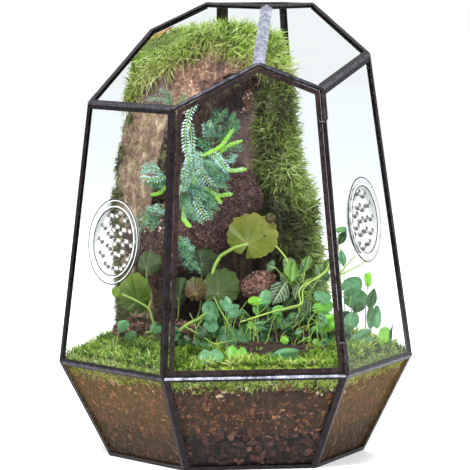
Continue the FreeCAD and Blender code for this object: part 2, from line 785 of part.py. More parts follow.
# Moss blanket over the top of the bark and down its right flank.
blanket = rippled_column(bark_shares, size("moss_thickness")).common(inside)
blanket = blanket.cut([bark_outer, recess, moss_dome()])
cap_edge_share = 0.877
cap_level = UP * (bark_foot + cap_edge_share * bark_height)
above_cap = slab_beyond(cap_level, UP)
flank_edge_share = 0.16
flank_lean = 10
right_of_rib = slab_beyond(Vector(flank_edge_share * girdle_radius, 0, cap_level.z), heading(0, flank_lean))
moss_cap = largest(blanket.common(above_cap))
moss_flank = largest(blanket.common(right_of_rib).cut(above_cap))
nodes.append(add_shape("moss_cap", moss_cap, Placement(cap_level, Rotation())))
nodes.append(add_shape("moss_flank", moss_flank, Placement(cap_level, Rotation())))


def spot(shares):
    """A place given as shares: x and y of the girdle radius, z of the overall rise."""
    x, y, z = shares
    return Vector(x * girdle_radius, y * girdle_radius, base_plane + z * size("overall_rise"))


# Bark log that leans across the recess.
log_shares = (
    ((-0.58, -0.03, 0.43), 0.15),
    ((-0.24, -0.01, 0.51), 0.19),
    ((0.09, 0.03, 0.625), 0.17),
)


def make_log():
    ends = [spot(place) for place, _ in log_shares]
    along = (ends[-1] - ends[0]).normalize()
    deep = Vector(0, 1, 0)
    across = deep.cross(along).normalize()
    rings = []
    for index, (place, radius_share) in enumerate(log_shares):
        radius = radius_share * girdle_radius
        rings.append(ripple_ring(spot(place), across, along.cross(across), radius, radius, index))
    return faceted_solid(rings)


bark_log = largest(make_log().cut([bark_outer.cut(recess), moss_flank, moss_cap, moss_dome()]).common(inside))
nodes.append(add_shape("bark_log", bark_log, Placement(spot(log_shares[0][0]), Rotation())))
ground = [moss_dome(), cork_bark, bark_log, moss_flank, moss_cap]


# Leaves: flat plates on stalks that end on the moss.

SMOOTH_LEAF_POINTS = 24
notch_share = 0.94


def leaf_plate(centre, normal, radius, length_share=1.0, teeth=0):
    normal = normal.normalize()
    across = UP.cross(normal).normalize()
    upward = normal.cross(across)
    count = max(SMOOTH_LEAF_POINTS, 2 * teeth)
    points = []
    for index in range(count):
        angle = math.tau * index / count
        reach = radius * (notch_share if teeth and index % 2 else 1)
        points.append(centre + across * (reach * math.cos(angle))
                      + upward * (reach * length_share * math.sin(angle)))
    outline = Part.makePolygon(points + points[:1])
    outline.translate(normal * (-size("leaf_thickness") / 2))
    return Part.Face(outline).extrude(normal * size("leaf_thickness"))


def leaf_on_stalk(leaf, radius, teeth=0):
    """Leaf row: centre shares, radius share, facing, foot shares (x and y)."""
    place, radius_share, facing, length_share, foot = leaf
    centre = spot(place)
    ground_point = Vector(foot[0] * girdle_radius, foot[1] * girdle_radius, girdle_level)
    normal = Vector(*facing)
    plate = leaf_plate(centre, normal, radius * radius_share, length_share, teeth)
    return plate.fuse(stalk(ground_point, centre, size("stalk_radius")))


placed = []


def add_plant(label, solids):
    """Trims each solid by the ground and by the solids placed before it."""
    kept = []
    for solid in solids:
        near = [other for other in ground + placed + kept if other.BoundBox.intersect(solid.BoundBox)]
        kept.append(largest(solid.common(inside).cut(near)))
    placed.extend(kept)
    shape = kept[0] if len(kept) == 1 else Part.makeCompound(kept)
    nodes.append(add_shape(label, shape, Placement(kept[0].BoundBox.Center, Rotation())))


begonia_large_leaves = (
    ((0.063, -0.22, 0.502), 1.0, (-0.1, -1, 0.25), 0.95, (-0.10, -0.26)),
)
begonia_dark_leaves = (
    ((-0.123, -0.32, 0.390), 0.72, (0, -1, 0.5), 1.0, (-0.12, -0.25)),
    ((-0.26, -0.35, 0.385), 0.50, (0.4, -1, 0.3), 1.0, (-0.24, -0.28)),
    ((-0.19, -0.24, 0.448), 0.60, (0, -1, 0.4), 0.6, (-0.18, -0.20)),
)
begonia_left_leaves = (
    ((-0.60, -0.27, 0.377), 0.82, (-0.6, -1, 0.4), 0.95, (-0.47, -0.22)),
)
nerve_leaves = (
    ((0.205, -0.34, 0.372), 1.0, (-0.2, -1, 0.4), 1.1, (0.26, -0.36)),
    ((0.35, -0.31, 0.409), 1.05, (0.1, -1, 0.5), 1.1, (0.33, -0.28)),
    ((0.45, -0.31, 0.438), 0.9, (0.3, -1, 0.5), 1.1, (0.42, -0.30)),
    ((0.33, -0.38, 0.339), 0.9, (0.1, -1, 0.3), 1.2, (0.33, -0.36)),
)
creeper_middle_leaves = (
    ((-0.18, -0.48, 0.330), 1.0, (-0.2, -1, 0.5), 0.9, (-0.20, -0.45)),
    ((-0.10, -0.49, 0.356), 0.75, (0.2, -1, 0.6), 0.9, (-0.12, -0.46)),
    ((-0.045, -0.50, 0.332), 0.75, (0.5, -1, 0.5), 0.9, (-0.05, -0.47)),
    ((0.118, -0.41, 0.364), 0.8, (0.1, -1, 0.5), 0.9, (0.12, -0.38)),
    ((0.05, -0.41, 0.358), 0.55, (-0.4, -1, 0.3), 0.9, (0.05, -0.39)),
    ((0.086, -0.48, 0.306), 1.0, (0.1, -1, 0.7), 0.8, (0.09, -0.45)),
    ((-0.018, -0.55, 0.300), 0.9, (-0.1, -1, 0.7), 0.8, (-0.02, -0.52)),
    ((-0.225, -0.66, 0.262), 1.1, (0, -1, 0.9), 0.7, (-0.23, -0.62)),
    ((0.21, -0.66, 0.264), 1.1, (0, -1, 0.9), 0.7, (0.20, -0.62)),
)
creeper_right_leaves = (
    ((0.444, -0.41, 0.353), 1.0, (-0.2, -1, 0.5), 0.9, (0.45, -0.38)),
    ((0.45, -0.49, 0.316), 1.1, (0, -1, 0.6), 0.7, (0.46, -0.46)),
    ((0.59, -0.27, 0.444), 0.9, (0, -1, 0.4), 1.0, (0.58, -0.24)),
    ((0.60, -0.27, 0.485), 0.7, (0.2, -1, 0.3), 1.2, (0.60, -0.22)),
    ((0.64, -0.31, 0.363), 1.15, (0.2, -1, 0.3), 1.0, (0.63, -0.28)),
    ((0.73, -0.27, 0.349), 1.0, (0.4, -1, 0.2), 1.1, (0.72, -0.25)),
    ((0.58, -0.38, 0.299), 1.2, (0, -1, 0.4), 1.0, (0.58, -0.35)),
    ((0.82, -0.20, 0.262), 0.8, (0.2, -1, 0.3), 1.0, (0.81, -0.18)),
)
add_plant("begonia_large", [leaf_on_stalk(leaf, size("begonia_leaf_radius"), 18)
                            for leaf in begonia_large_leaves])
add_plant("begonia_dark", [leaf_on_stalk(leaf, size("begonia_leaf_radius"), 14)
                           for leaf in begonia_dark_leaves])
add_plant("begonia_left", [leaf_on_stalk(leaf, size("begonia_leaf_radius"), 16)
                           for leaf in begonia_left_leaves])
add_plant("nerve_plant", [leaf_on_stalk(leaf, size("nerve_leaf_radius")) for leaf in nerve_leaves])
add_plant("creeper_middle", [leaf_on_stalk(leaf, size("creeper_leaf_radius"))
                             for leaf in creeper_middle_leaves])
add_plant("creeper_right", [leaf_on_stalk(leaf, size("creeper_leaf_radius"))
                            for leaf in creeper_right_leaves])


# Fern fronds: a toothed plate from its root on the bark to its tip.
FROND_PAIRS = 7
notch_place_share = 0.4
point_place_share = 0.9
base_swell_share = 0.12
swell_share = 0.8


def frond_plate(root, tip, facing):
    length = (tip - root).Length
    along = (tip - root).normalize()
    across = along.cross(Vector(*facing)).normalize()
    normal = across.cross(along)
    half = size("frond_width") / 2
    right = []
    left = []
    for index in range(FROND_PAIRS):
        near = (index + notch_place_share) / FROND_PAIRS
        out = (index + point_place_share) / FROND_PAIRS
        spread = half * math.sin(math.pi * (base_swell_share + swell_share * out))
        for share, reach in ((near, size("stalk_radius")), (out, spread)):
            centre = root + along * (length * share)
            right.append(centre + across * reach)
            left.append(centre - across * reach)
    outline = Part.makePolygon([root] + right + [tip] + left[::-1] + [root])
    outline.translate(normal * (-size("leaf_thickness") / 2))
    return Part.Face(outline).extrude(normal * size("leaf_thickness"))


fern_upper_fronds = (
    ((-0.01, -0.05, 0.645), (-0.07, -0.12, 0.765)),
    ((0.05, -0.05, 0.650), (0.09, -0.13, 0.745)),
    ((-0.05, -0.05, 0.64), (-0.17, -0.14, 0.700)),
    ((0.05, -0.08, 0.63), (0.14, -0.16, 0.672)),
)
fern_hanging_fronds = (
    ((-0.07, -0.10, 0.63), (-0.12, -0.27, 0.545)),
    ((-0.13, -0.10, 0.61), (-0.27, -0.28, 0.535)),
    ((-0.02, -0.12, 0.62), (0.02, -0.26, 0.530)),
    ((0.06, -0.10, 0.63), (0.13, -0.24, 0.575)),
    ((-0.19, -0.12, 0.58), (-0.36, -0.24, 0.575)),
    ((-0.25, -0.14, 0.55), (-0.33, -0.29, 0.455)),
)
fern_left_fronds = (
    ((-0.46, -0.09, 0.53), (-0.52, -0.20, 0.610)),
    ((-0.50, -0.08, 0.50), (-0.62, -0.22, 0.530)),
    ((-0.40, -0.12, 0.53), (-0.44, -0.27, 0.470)),
)


def add_fern(label, fronds):
    add_plant(label, [frond_plate(spot(root), spot(tip), (0, -1, 0.4)) for root, tip in fronds])


add_fern("fern_upper", fern_upper_fronds)
add_fern("fern_hanging", fern_hanging_fronds)
add_fern("fern_left", fern_left_fronds)


# Runner stems that arch over the moss.
runner_paths = (
    ((0.02, -0.57, 0.22), (0.10, -0.56, 0.315), (0.22, -0.50, 0.335), (0.40, -0.42, 0.385)),
    ((-0.32, -0.50, 0.20), (-0.27, -0.50, 0.30), (-0.18, -0.42, 0.345), (-0.10, -0.36, 0.36)),
)


def runner(path):
    points = [spot(place) for place in path]
    pieces = [stalk(a, b, size("stalk_radius")) for a, b in zip(points, points[1:])]
    pieces += [Part.makeSphere(size("stalk_radius"), point) for point in points[1:]]
    return pieces[0].fuse(pieces[1:])


add_plant("runner_stems", [runner(path) for path in runner_paths])


# Check every object, then write one file for each sub-part.
doc.recompute()
for item in doc.Objects:
    if "Invalid" in item.State or "Error" in item.State:
        raise RuntimeError("%s did not compute: %s" % (item.Label, item.State))
os.makedirs("parts", exist_ok=True)
for node in nodes:
    shape = node.Shape
    if shape.isNull() or not shape.isValid() or not shape.Solids:
        raise RuntimeError("%s has no valid solid" % node.Label)
    shape.exportStep(os.path.join("parts", node.Label + ".step"))
print(len(nodes), "sub-parts,", sum(len(node.Shape.Solids) for node in nodes), "solids")
print("hinge foot", hinge_axis_foot, "way", hinge_way)
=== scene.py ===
import itertools
import math

import bmesh
import bpy
import numpy as np
from mathutils import Matrix, Vector


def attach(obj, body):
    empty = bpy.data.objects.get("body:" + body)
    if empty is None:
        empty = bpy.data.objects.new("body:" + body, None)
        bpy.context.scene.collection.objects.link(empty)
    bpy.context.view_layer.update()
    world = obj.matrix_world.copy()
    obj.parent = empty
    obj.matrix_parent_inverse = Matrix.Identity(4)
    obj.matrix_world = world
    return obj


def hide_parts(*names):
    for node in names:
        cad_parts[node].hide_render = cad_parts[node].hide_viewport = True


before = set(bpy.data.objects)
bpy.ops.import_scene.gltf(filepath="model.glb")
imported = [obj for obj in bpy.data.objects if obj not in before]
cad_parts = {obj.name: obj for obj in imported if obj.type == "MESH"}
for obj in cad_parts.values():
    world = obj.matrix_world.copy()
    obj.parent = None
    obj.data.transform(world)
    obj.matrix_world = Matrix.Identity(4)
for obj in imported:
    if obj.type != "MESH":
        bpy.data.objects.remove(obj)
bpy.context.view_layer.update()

MM = 0.001
FINE = 1.0

# Camera at the photograph's angle. Lengths are in millimetres until they reach Blender.
AIM = np.array((-0.92, 0.0, 182.12))
AZIMUTH, ELEVATION, ROLL = (math.radians(a) for a in (6.6986, 5.2301, -0.2758))
DISTANCE = 3006.0
FOCAL_PX = 3628.73
PICTURE_PX = 470
SENSOR = 36.0
PX = DISTANCE / FOCAL_PX


def camera_axes():
    back = np.array((-math.sin(AZIMUTH) * math.cos(ELEVATION), -math.cos(AZIMUTH) * math.cos(ELEVATION),
                     math.sin(ELEVATION)))
    right = np.cross(-back, (0, 0, 1))
    right /= np.linalg.norm(right)
    up = np.cross(right, -back)
    return math.cos(ROLL) * right + math.sin(ROLL) * up, math.cos(ROLL) * up - math.sin(ROLL) * right, back


RIGHT, UPWARD, BACK = camera_axes()
CAMERA_PLACE = AIM + BACK * DISTANCE


def seen(px, py, depth):
    """The place at this depth (the y coordinate) that the camera sees at a pixel of its 470 pixel frame."""
    ray = (RIGHT * (px - PICTURE_PX / 2) - UPWARD * (py - PICTURE_PX / 2)) / FOCAL_PX - BACK
    reach = (depth - CAMERA_PLACE[1]) / ray[1]
    return CAMERA_PLACE + ray * reach


def pixels(points):
    """Where points land in the camera's 470 pixel frame."""
    away = points - CAMERA_PLACE
    reach = -(away @ BACK)
    return (PICTURE_PX / 2 + FOCAL_PX * (away @ RIGHT) / reach, PICTURE_PX / 2 - FOCAL_PX * (away @ UPWARD) / reach)


def make_camera():
    camera = bpy.data.cameras.new("camera")
    camera.lens = FOCAL_PX / PICTURE_PX * SENSOR
    camera.sensor_width = SENSOR
    camera.clip_end = 20
    item = bpy.data.objects.new("camera", camera)
    bpy.context.scene.collection.objects.link(item)
    turn = Matrix((RIGHT, UPWARD, BACK)).transposed()
    item.matrix_world = Matrix.Translation(Vector(CAMERA_PLACE * MM)) @ turn.to_4x4()
    bpy.context.scene.camera = item


make_camera()

# Corners of the case, and three corners of each pane that bounds it.
C = {
    "b0": (-52.7, -91.28, 1.4), "b1": (52.7, -91.28, 1.4), "b2": (105.4, 0, 1.4),
    "b3": (52.7, 91.28, 1.4), "b4": (-52.7, 91.28, 1.4), "b5": (-105.4, 0, 1.4),
    "g0": (-73, -126.44, 79.7), "g1": (73, -126.44, 79.7), "g2": (146, 0, 79.7),
    "g3": (73, 126.44, 79.7), "g4": (-73, 126.44, 79.7), "g5": (-146, 0, 79.7),
    "u0": (-120.6, 0.7, 292.3), "u1": (-62.3, -100.3, 292.3), "peak": (7.3, -96, 327.4),
    "u2": (57.8, -98.5, 307.1), "u3": (111, -0.9, 330.2), "shoulder": (-60, 94.4, 348.2),
    "rim_l": (-13.1, 91.8, 370.4), "rim_f": (28.8, 19.2, 370.4), "rim_r": (72.2, 56.4, 370.4),
    "rim_b": (51.8, 91.8, 370.4),
}
C = {name: np.array(place, float) for name, place in C.items()}
LEFT_WALL, RIGHT_WALL = "g5 g0 u1", "g1 g2 u3"
PANES = (
    "b0 b1 b2", "g0 g1 u2", RIGHT_WALL, "g2 g3 rim_b", "g3 g4 rim_l", "g4 g5 u0", LEFT_WALL, "u0 u1 peak",
    "peak u2 u3", "rim_f rim_r rim_b", "b0 b1 g1", "b1 b2 g2", "b2 b3 g3", "b3 b4 g4", "b4 b5 g5", "b5 b0 g0")
CASE_MIDDLE = np.array((0, 0, 180.0))
LEAF_GAP = 1.9
BARK_GAP = 2.2


def pane_plane(names):
    """The outward normal of a pane and its distance from the origin."""
    a, b, c = (C[name] for name in names.split())
    normal = np.cross(b - a, c - a)
    normal /= np.linalg.norm(normal)
    if normal.dot(a - CASE_MIDDLE) < 0:
        normal = -normal
    return normal, normal.dot(a)


PLANES = [pane_plane(names) for names in PANES]


def depth_inside(points):
    """How far each point lies inside the nearest pane."""
    return np.min([offset - points @ normal for normal, offset in PLANES], axis=0)


def keep_inside(points, margin):
    """Moves points that come too near a pane back to the margin."""
    points = points.copy()
    for _ in range(3):
        for normal, offset in PLANES:
            over = points @ normal - (offset - margin)
            points -= np.outer(np.maximum(over, 0), normal)
    return points


# Smooth noise for shapes.

def lattice(ix, iy, iz, seed):
    h = (ix * 374761393 + iy * 668265263 + iz * 1274126177 + seed * 362437) & 0xFFFFFFFF
    h = ((h ^ (h >> 13)) * 1103515245) & 0xFFFFFFFF
    return ((h ^ (h >> 16)) & 0xFFFF) / 32767.5 - 1


def value_noise(points, seed):
    base = np.floor(points).astype(np.int64)
    part = points - base
    ease = part * part * (3 - 2 * part)
    total = np.zeros(len(points))
    for corner in itertools.product((0, 1), repeat=3):
        x, y, z = np.where(corner, ease, 1 - ease).T
        total += x * y * z * lattice(*(base + corner).T, seed)
    return total


def fractal(points, wavelength, octaves=4, seed=0, stretch=(1, 1, 1)):
    scaled = points / (np.array(stretch) * wavelength)
    total = np.zeros(len(points))
    for octave in range(octaves):
        total += 0.5 ** octave * value_noise(scaled * 2 ** octave + 17.3 * octave, seed + octave)
    return total


def step(value, low, high):
    """A soft step from 0 at low to 1 at high."""
    t = np.clip((value - low) / (high - low), 0, 1)
    return t * t * (3 - 2 * t)


def unit(v):
    v = np.asarray(v, float)
    return v / np.maximum(np.linalg.norm(v, axis=-1, keepdims=True), 1e-9)


# Mesh making.

def add_object(name, mesh, material, replaces=()):
    item = bpy.data.objects.new(name, mesh)
    bpy.context.scene.collection.objects.link(item)
    mesh.materials.append(material)
    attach(item, "case")
    if replaces:
        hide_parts(*replaces)
    return item


def build_mesh(name, points, quads=None, triangles=None, uvs=None, smooth=True, shades=None):
    """A mesh from millimetre points, an array of quads and an array of triangles, with one UV for each point."""
    mesh = bpy.data.meshes.new(name)
    quads = np.zeros((0, 4), int) if quads is None else np.asarray(quads, int)
    triangles = np.zeros((0, 3), int) if triangles is None else np.asarray(triangles, int)
    corners = np.concatenate([quads.ravel(), triangles.ravel()])
    sizes = np.concatenate([np.full(len(quads), 4), np.full(len(triangles), 3)])
    starts = np.concatenate([[0], np.cumsum(sizes)[:-1]])
    mesh.vertices.add(len(points))
    mesh.vertices.foreach_set("co", (np.asarray(points) * MM).astype(np.float32).ravel())
    mesh.loops.add(len(corners))
    mesh.loops.foreach_set("vertex_index", corners.astype(np.int32))
    mesh.polygons.add(len(sizes))
    mesh.polygons.foreach_set("loop_start", starts.astype(np.int32))
    if uvs is not None:
        layer = mesh.uv_layers.new(name="uv")
        layer.data.foreach_set("uv", np.asarray(uvs, np.float32)[corners].ravel())
    mesh.polygons.foreach_set("use_smooth", np.full(len(sizes), smooth))
    mesh.update(calc_edges=True)
    if shades is not None:
        set_value(mesh, "shade", shades)
    mesh.validate()
    return mesh


class Pile:
    """Collects copies of small templates into one mesh."""

    def __init__(self):
        self.points, self.quads, self.triangles, self.uvs, self.shades, self.count = [], [], [], [], [], 0

    def add(self, points, quads=None, triangles=None, uvs=None, shades=0.0):
        if quads is not None:
            self.quads.append(quads + self.count)
        if triangles is not None:
            self.triangles.append(triangles + self.count)
        self.points.append(points)
        self.uvs.append(np.zeros((len(points), 2)) if uvs is None else uvs)
        self.shades.append(np.broadcast_to(shades, (len(points),)))
        self.count += len(points)

    def mesh(self, name, smooth=True):
        quads, triangles = (np.concatenate(faces) if faces else None for faces in (self.quads, self.triangles))
        return build_mesh(name, np.concatenate(self.points), quads, triangles, np.concatenate(self.uvs), smooth,
                          np.concatenate(self.shades))

    def place(self, name, material, slot, *replaces):
        return add_object(name, self.mesh(name), material, replaces)


def vertex_values(mesh, name):
    flat = np.empty(len(mesh.vertices) * 3, np.float32)
    mesh.vertices.foreach_get(name, flat)
    return flat.reshape(-1, 3).astype(float)


def mesh_points(mesh):
    return vertex_values(mesh, "co") / MM


def mesh_normals(mesh):
    return vertex_values(mesh, "normal")


def set_points(mesh, points):
    mesh.vertices.foreach_set("co", (points * MM).astype(np.float32).ravel())
    mesh.update()


def set_value(mesh, name, values):
    layer = mesh.attributes.new(name, "FLOAT", "POINT")
    layer.data.foreach_set("value", np.asarray(values, np.float32))


def ring_points(centres, radii, across, other, count):
    """Rings of points about centres, with a plane for all of them or one for each."""
    angle = np.arange(count)[None, :, None] * math.tau / count
    spokes = np.cos(angle) * np.atleast_2d(across)[:, None] + np.sin(angle) * np.atleast_2d(other)[:, None]
    radii = np.broadcast_to(radii, len(centres))[:, None, None]
    return (centres[:, None] + radii * spokes).reshape(-1, 3)


def ring_quads(count, rings):
    """Faces between rings of points that follow each other."""
    a = np.arange(count * (rings - 1))
    b = a // count * count + (a + 1) % count
    return np.stack([a, b, b + count, a + count], axis=1)


def polar(reach, angle, z):
    x, y = reach * np.cos(angle), reach * np.sin(angle)
    return np.stack([x, y, np.broadcast_to(z, x.shape)], axis=1)


def ball(level):
    """An icosphere as arrays."""
    work = bmesh.new()
    bmesh.ops.create_icosphere(work, subdivisions=level, radius=1)
    points = np.array([v.co[:] for v in work.verts])
    faces = np.array([[v.index for v in f.verts] for f in work.faces])
    work.free()
    return points, faces


def turned(rng, count):
    """Random rotations."""
    q = rng.normal(size=(count, 4))
    q /= np.linalg.norm(q, axis=1, keepdims=True)
    w, x, y, z = q.T
    return np.stack([
        np.stack([1 - 2 * (y * y + z * z), 2 * (x * y - z * w), 2 * (x * z + y * w)], -1),
        np.stack([2 * (x * y + z * w), 1 - 2 * (x * x + z * z), 2 * (y * z - x * w)], -1),
        np.stack([2 * (x * z - y * w), 2 * (y * z + x * w), 1 - 2 * (x * x + y * y)], -1)], 1)


# Materials. Colours in ramps and mixes are given as 0 to 255, and noise scales in repeats for each metre.

def srgb(colour):
    return tuple(v / 255 / 12.92 if v / 255 <= 0.04045 else ((v / 255 + 0.055) / 1.055) ** 2.4 for v in colour)


class Wire:
    """A value on its way through a node tree. Arithmetic on it adds Math nodes."""

    def __init__(self, nodes, socket):
        self.nodes, self.socket = nodes, socket

    def maths(self, operation, other=0.0):
        return self.nodes.add("Math", {0: self, 1: other}, operation=operation)

    def __add__(self, other):
        return self.maths("ADD", other)

    def __sub__(self, other):
        return self.maths("SUBTRACT", other)

    def __rsub__(self, other):
        return self.nodes.add("Math", {0: other, 1: self}, operation="SUBTRACT")

    def __mul__(self, other):
        return self.maths("MULTIPLY", other)

    def __pow__(self, other):
        return self.maths("POWER", other)

    def __abs__(self):
        return self.maths("ABSOLUTE")

    def __gt__(self, other):
        return self.maths("GREATER_THAN", other)

    def __lt__(self, other):
        return self.maths("LESS_THAN", other)

    def split(self):
        """The parts of a vector."""
        return [Wire(self.nodes, socket) for socket in self.nodes.node("SeparateXYZ", {0: self}).outputs]

    def span(self, low, high, first=0.0, last=1.0):
        """Runs from first to last while the value runs from low to high."""
        return self.nodes.add("MapRange", {
            "Value": self, "From Min": low, "From Max": high, "To Min": first, "To Max": last})


class Nodes:
    """The node tree of a material or a world."""

    def __init__(self, owner):
        owner.use_nodes = True
        self.owner, self.tree = owner, owner.node_tree
        self.tree.nodes.clear()

    def node(self, kind, inputs=None, **settings):
        node = self.tree.nodes.new("ShaderNode" + kind)
        for key, value in settings.items():
            setattr(node, key, value)
        for key, value in (inputs or {}).items():
            socket = node.inputs[key]
            if isinstance(value, Wire):
                self.tree.links.new(value.socket, socket)
            else:
                socket.default_value = (*value, 1) if socket.type == "RGBA" else value
        return node

    def add(self, kind, inputs=None, output=0, **settings):
        return Wire(self, self.node(kind, inputs, **settings).outputs[output])

    def place(self, kind="Object"):
        return self.add("TexCoord", None, kind)

    def light(self, kind):
        return self.add("LightPath", None, "Is " + kind + " Ray")

    def own(self, name="shade"):
        return self.add("Attribute", None, "Fac", attribute_name=name)

    def uv(self):
        return self.add("UVMap", uv_map="uv")

    def noise(self, scale, detail, roughness, stretch=None):
        place = self.place()
        if stretch:
            place = self.add("Mapping", {"Vector": place, "Scale": stretch})
        return self.add("TexNoise", {"Vector": place, "Scale": scale, "Detail": detail, "Roughness": roughness})

    def cells(self, scale):
        return self.add("TexVoronoi", {"Vector": self.place(), "Scale": scale})

    def mottling(self, scale):
        return self.noise(scale, 6, 0.65) * 0.65 + self.noise(scale * 5, 4, 0.6) * 0.35

    def ramp(self, value, *stops):
        node = self.node("ValToRGB", {"Fac": value})
        band = node.color_ramp
        while len(band.elements) < len(stops):
            band.elements.new(0.5)
        for element, (place, colour) in zip(band.elements, stops):
            element.position = place
            element.color = (*srgb(colour), 1)
        return Wire(self, node.outputs["Color"])

    def mix(self, share, a, b, blend="MIX"):
        a, b = (srgb(colour) if isinstance(colour, tuple) else colour for colour in (a, b))
        return self.add("Mix", {0: share, 6: a, 7: b}, 2, data_type="RGBA", blend_type=blend)

    def bump(self, height, strength, distance):
        return self.add("Bump", {"Height": height, "Strength": strength, "Distance": distance})

    def surface(self, colour, roughness, normal=None, **inputs):
        if normal:
            inputs["Normal"] = normal
        return self.add("BsdfPrincipled", {"Base Color": colour, "Roughness": roughness, **inputs})

    def blend(self, share, first, second):
        return self.add("MixShader", {0: share, 1: first, 2: second})

    def thin(self, colour, share, roughness, normal=None):
        """A thin blade that lets a share of the light through."""
        through = self.add("BsdfTranslucent", {"Color": colour})
        return self.blend(share, self.surface(colour, roughness, normal), through)

    def finish(self, shader, kind="Material"):
        self.node("Output" + kind, {"Surface": shader})
        return self.owner


def new_material(name):
    return Nodes(bpy.data.materials.new(name))


def dust(amount):
    """A veil of grit that thins out upwards, with a few specks."""
    def veil(t):
        low = t.place().split()[2].span(0.078, 0.165, 1.0, 0.06)
        cloud = low ** 1.6 * (t.noise(300, 5, 0.75) * (amount * 2))
        return cloud.maths("MAXIMUM", (t.noise(640, 2, 0.5) > 0.73) * 0.5), (0.30, 0.31, 0.27)
    return veil


def painted_tan_reflection(t):
    """A painted reflection: a veil of tan-brown colour on the glass that thickens upwards."""
    low = t.place().split()[2].span(0.004, 0.078, 0.25, 1.0)
    return low * ((t.noise(900, 3, 0.6, (1, 1, 0.35)) + 0.5) * 0.17), (0.46, 0.27, 0.08)


def clear_material(name, veil=None, tint=(0.968, 0.981, 0.983), shine=0.1, axis=None, middle=None):
    """See-through glass or plastic: it lets light straight through and mirrors a little where light enters it.
    With an axis, the walls that stand along it show as moulded edges, with painted highlight where they face up and
    painted shade where they face down."""
    t = new_material(name)
    front = 1.0 - t.add("NewGeometry", None, "Backfacing")
    lit = 1.0 - t.light("Shadow")
    share = t.add("Fresnel", {"IOR": 1.5}).maths("MINIMUM", 0.09) * (t.noise(26, 4, 0.6) * 0.5 + 0.5)
    shader = t.blend(share * front * shine * lit, t.add("BsdfTransparent", {"Color": tint}),
                     t.add("BsdfGlossy", {"Color": (1, 1, 1), "Roughness": 0.05}))
    if veil:
        cloud, colour = veil(t)
        shader = t.blend(cloud * (lit * front), shader, t.add("BsdfDiffuse", {"Color": colour}))
    if axis is not None:
        normal = t.add("NewGeometry", None, "Normal")
        wall = 1.0 - abs(t.add("VectorMath", {0: normal, 1: axis}, "Value", operation="DOT_PRODUCT"))
        away = t.add("VectorMath", {0: t.place(), 1: middle}, "Value", operation="DISTANCE")
        wall = (wall ** 2.0 * 1.6).maths("MINIMUM", 0.9) * away.span(0.0245, 0.0265, 1.0, 0.25) * (lit * 0.7 + 0.3)
        # Painted highlight and shade: the walls' colour runs from dark where they face down to white where they face
        # up.
        colour = t.ramp(normal.split()[2].span(-0.5, 0.5), (0.0, (74, 70, 72)), (0.5, (150, 148, 146)),
                        (1.0, (244, 244, 240)))
        shader = t.blend(wall, shader, t.surface(colour, 0.18))
    return t.finish(shader)


def solder_material(name, dark, light, roughness=0.3):
    t = new_material(name)
    colour = t.ramp(t.noise(160, 5, 0.6), (0.32, dark), (0.68, light))
    lumps = t.noise(420, 3, 0.5)
    rough = lumps.span(0.3, 0.7, roughness - 0.12, roughness + 0.16)
    return t.finish(t.surface(colour, rough, t.bump(lumps, 0.35, 0.0006), Metallic=0.6))


def moss_material(name, root, low, high, tip):
    """Blades shade from root to tip by their V coordinate, and differ by a value kept for each point."""
    t = new_material(name)
    pick = t.own() * 0.62 + t.noise(38, 3, 0.6) * 0.45
    blade = t.ramp(pick, (0.14, root), (0.30, low), (0.56, high), (0.90, tip))
    return t.finish(t.thin(t.mix(t.uv().split()[1] ** 0.6, root, blade), 0.4, 0.5))


def ground_material(name, dark, mid, light, scale):
    t = new_material(name)
    pick = t.mottling(scale)
    colour = t.ramp(pick, (0.36, dark), (0.5, mid), (0.66, light))
    return t.finish(t.surface(colour, 0.85, t.bump(pick, 0.8, 0.002)))


def chip_material(name, scale, *stops):
    """Loose pieces, each with its own colour from the value kept on its points."""
    t = new_material(name)
    grain = t.noise(scale, 4, 0.6)
    shade = t.ramp(grain, (0.3, (159.68, 155.48, 148.88)), (0.7, (255, 255, 255)))
    colour = t.mix(0.55, t.ramp(t.own(), *stops), shade, "MULTIPLY")
    return t.finish(t.surface(colour, 0.7, t.bump(grain, 0.5, 0.0006)))


def crumb_material(name, scale, *stops):
    """Rough, granular wood or soil."""
    t = new_material(name)
    pick = t.noise(scale / 4, 6, 0.7) * 0.6 + t.cells(scale) * 0.5
    return t.finish(t.surface(t.ramp(pick, *stops), 0.75, t.bump(pick, 1.0, 0.003)))


# The CAD nodes that stay in sight: glass, solder, hinges and vents.

def node_middle(name):
    corners = np.array([corner[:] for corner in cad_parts[name].bound_box])
    return (corners.min(0) + corners.max(0)) / 2


# The vents' moulded edges carry painted highlight and painted shade.
def vent_material(name, node, wall):
    return clear_material(name, None, (0.95, 0.955, 0.95), 1.2, pane_plane(wall)[0], node_middle(node))


GLASS = clear_material("clear_glass")
# The lower panes carry a painted tan reflection in brown.
LOWER_GLASS = clear_material("glass_painted_reflection", painted_tan_reflection)
SOLDER = solder_material("dark_solder", (15, 10, 11), (44, 35, 40))
# Pale solder for the front girdle's crown: a painted highlight.
HIGHLIGHT_SOLDER = solder_material("painted_highlight_solder", (96, 100, 114), (206, 212, 228), 0.26)
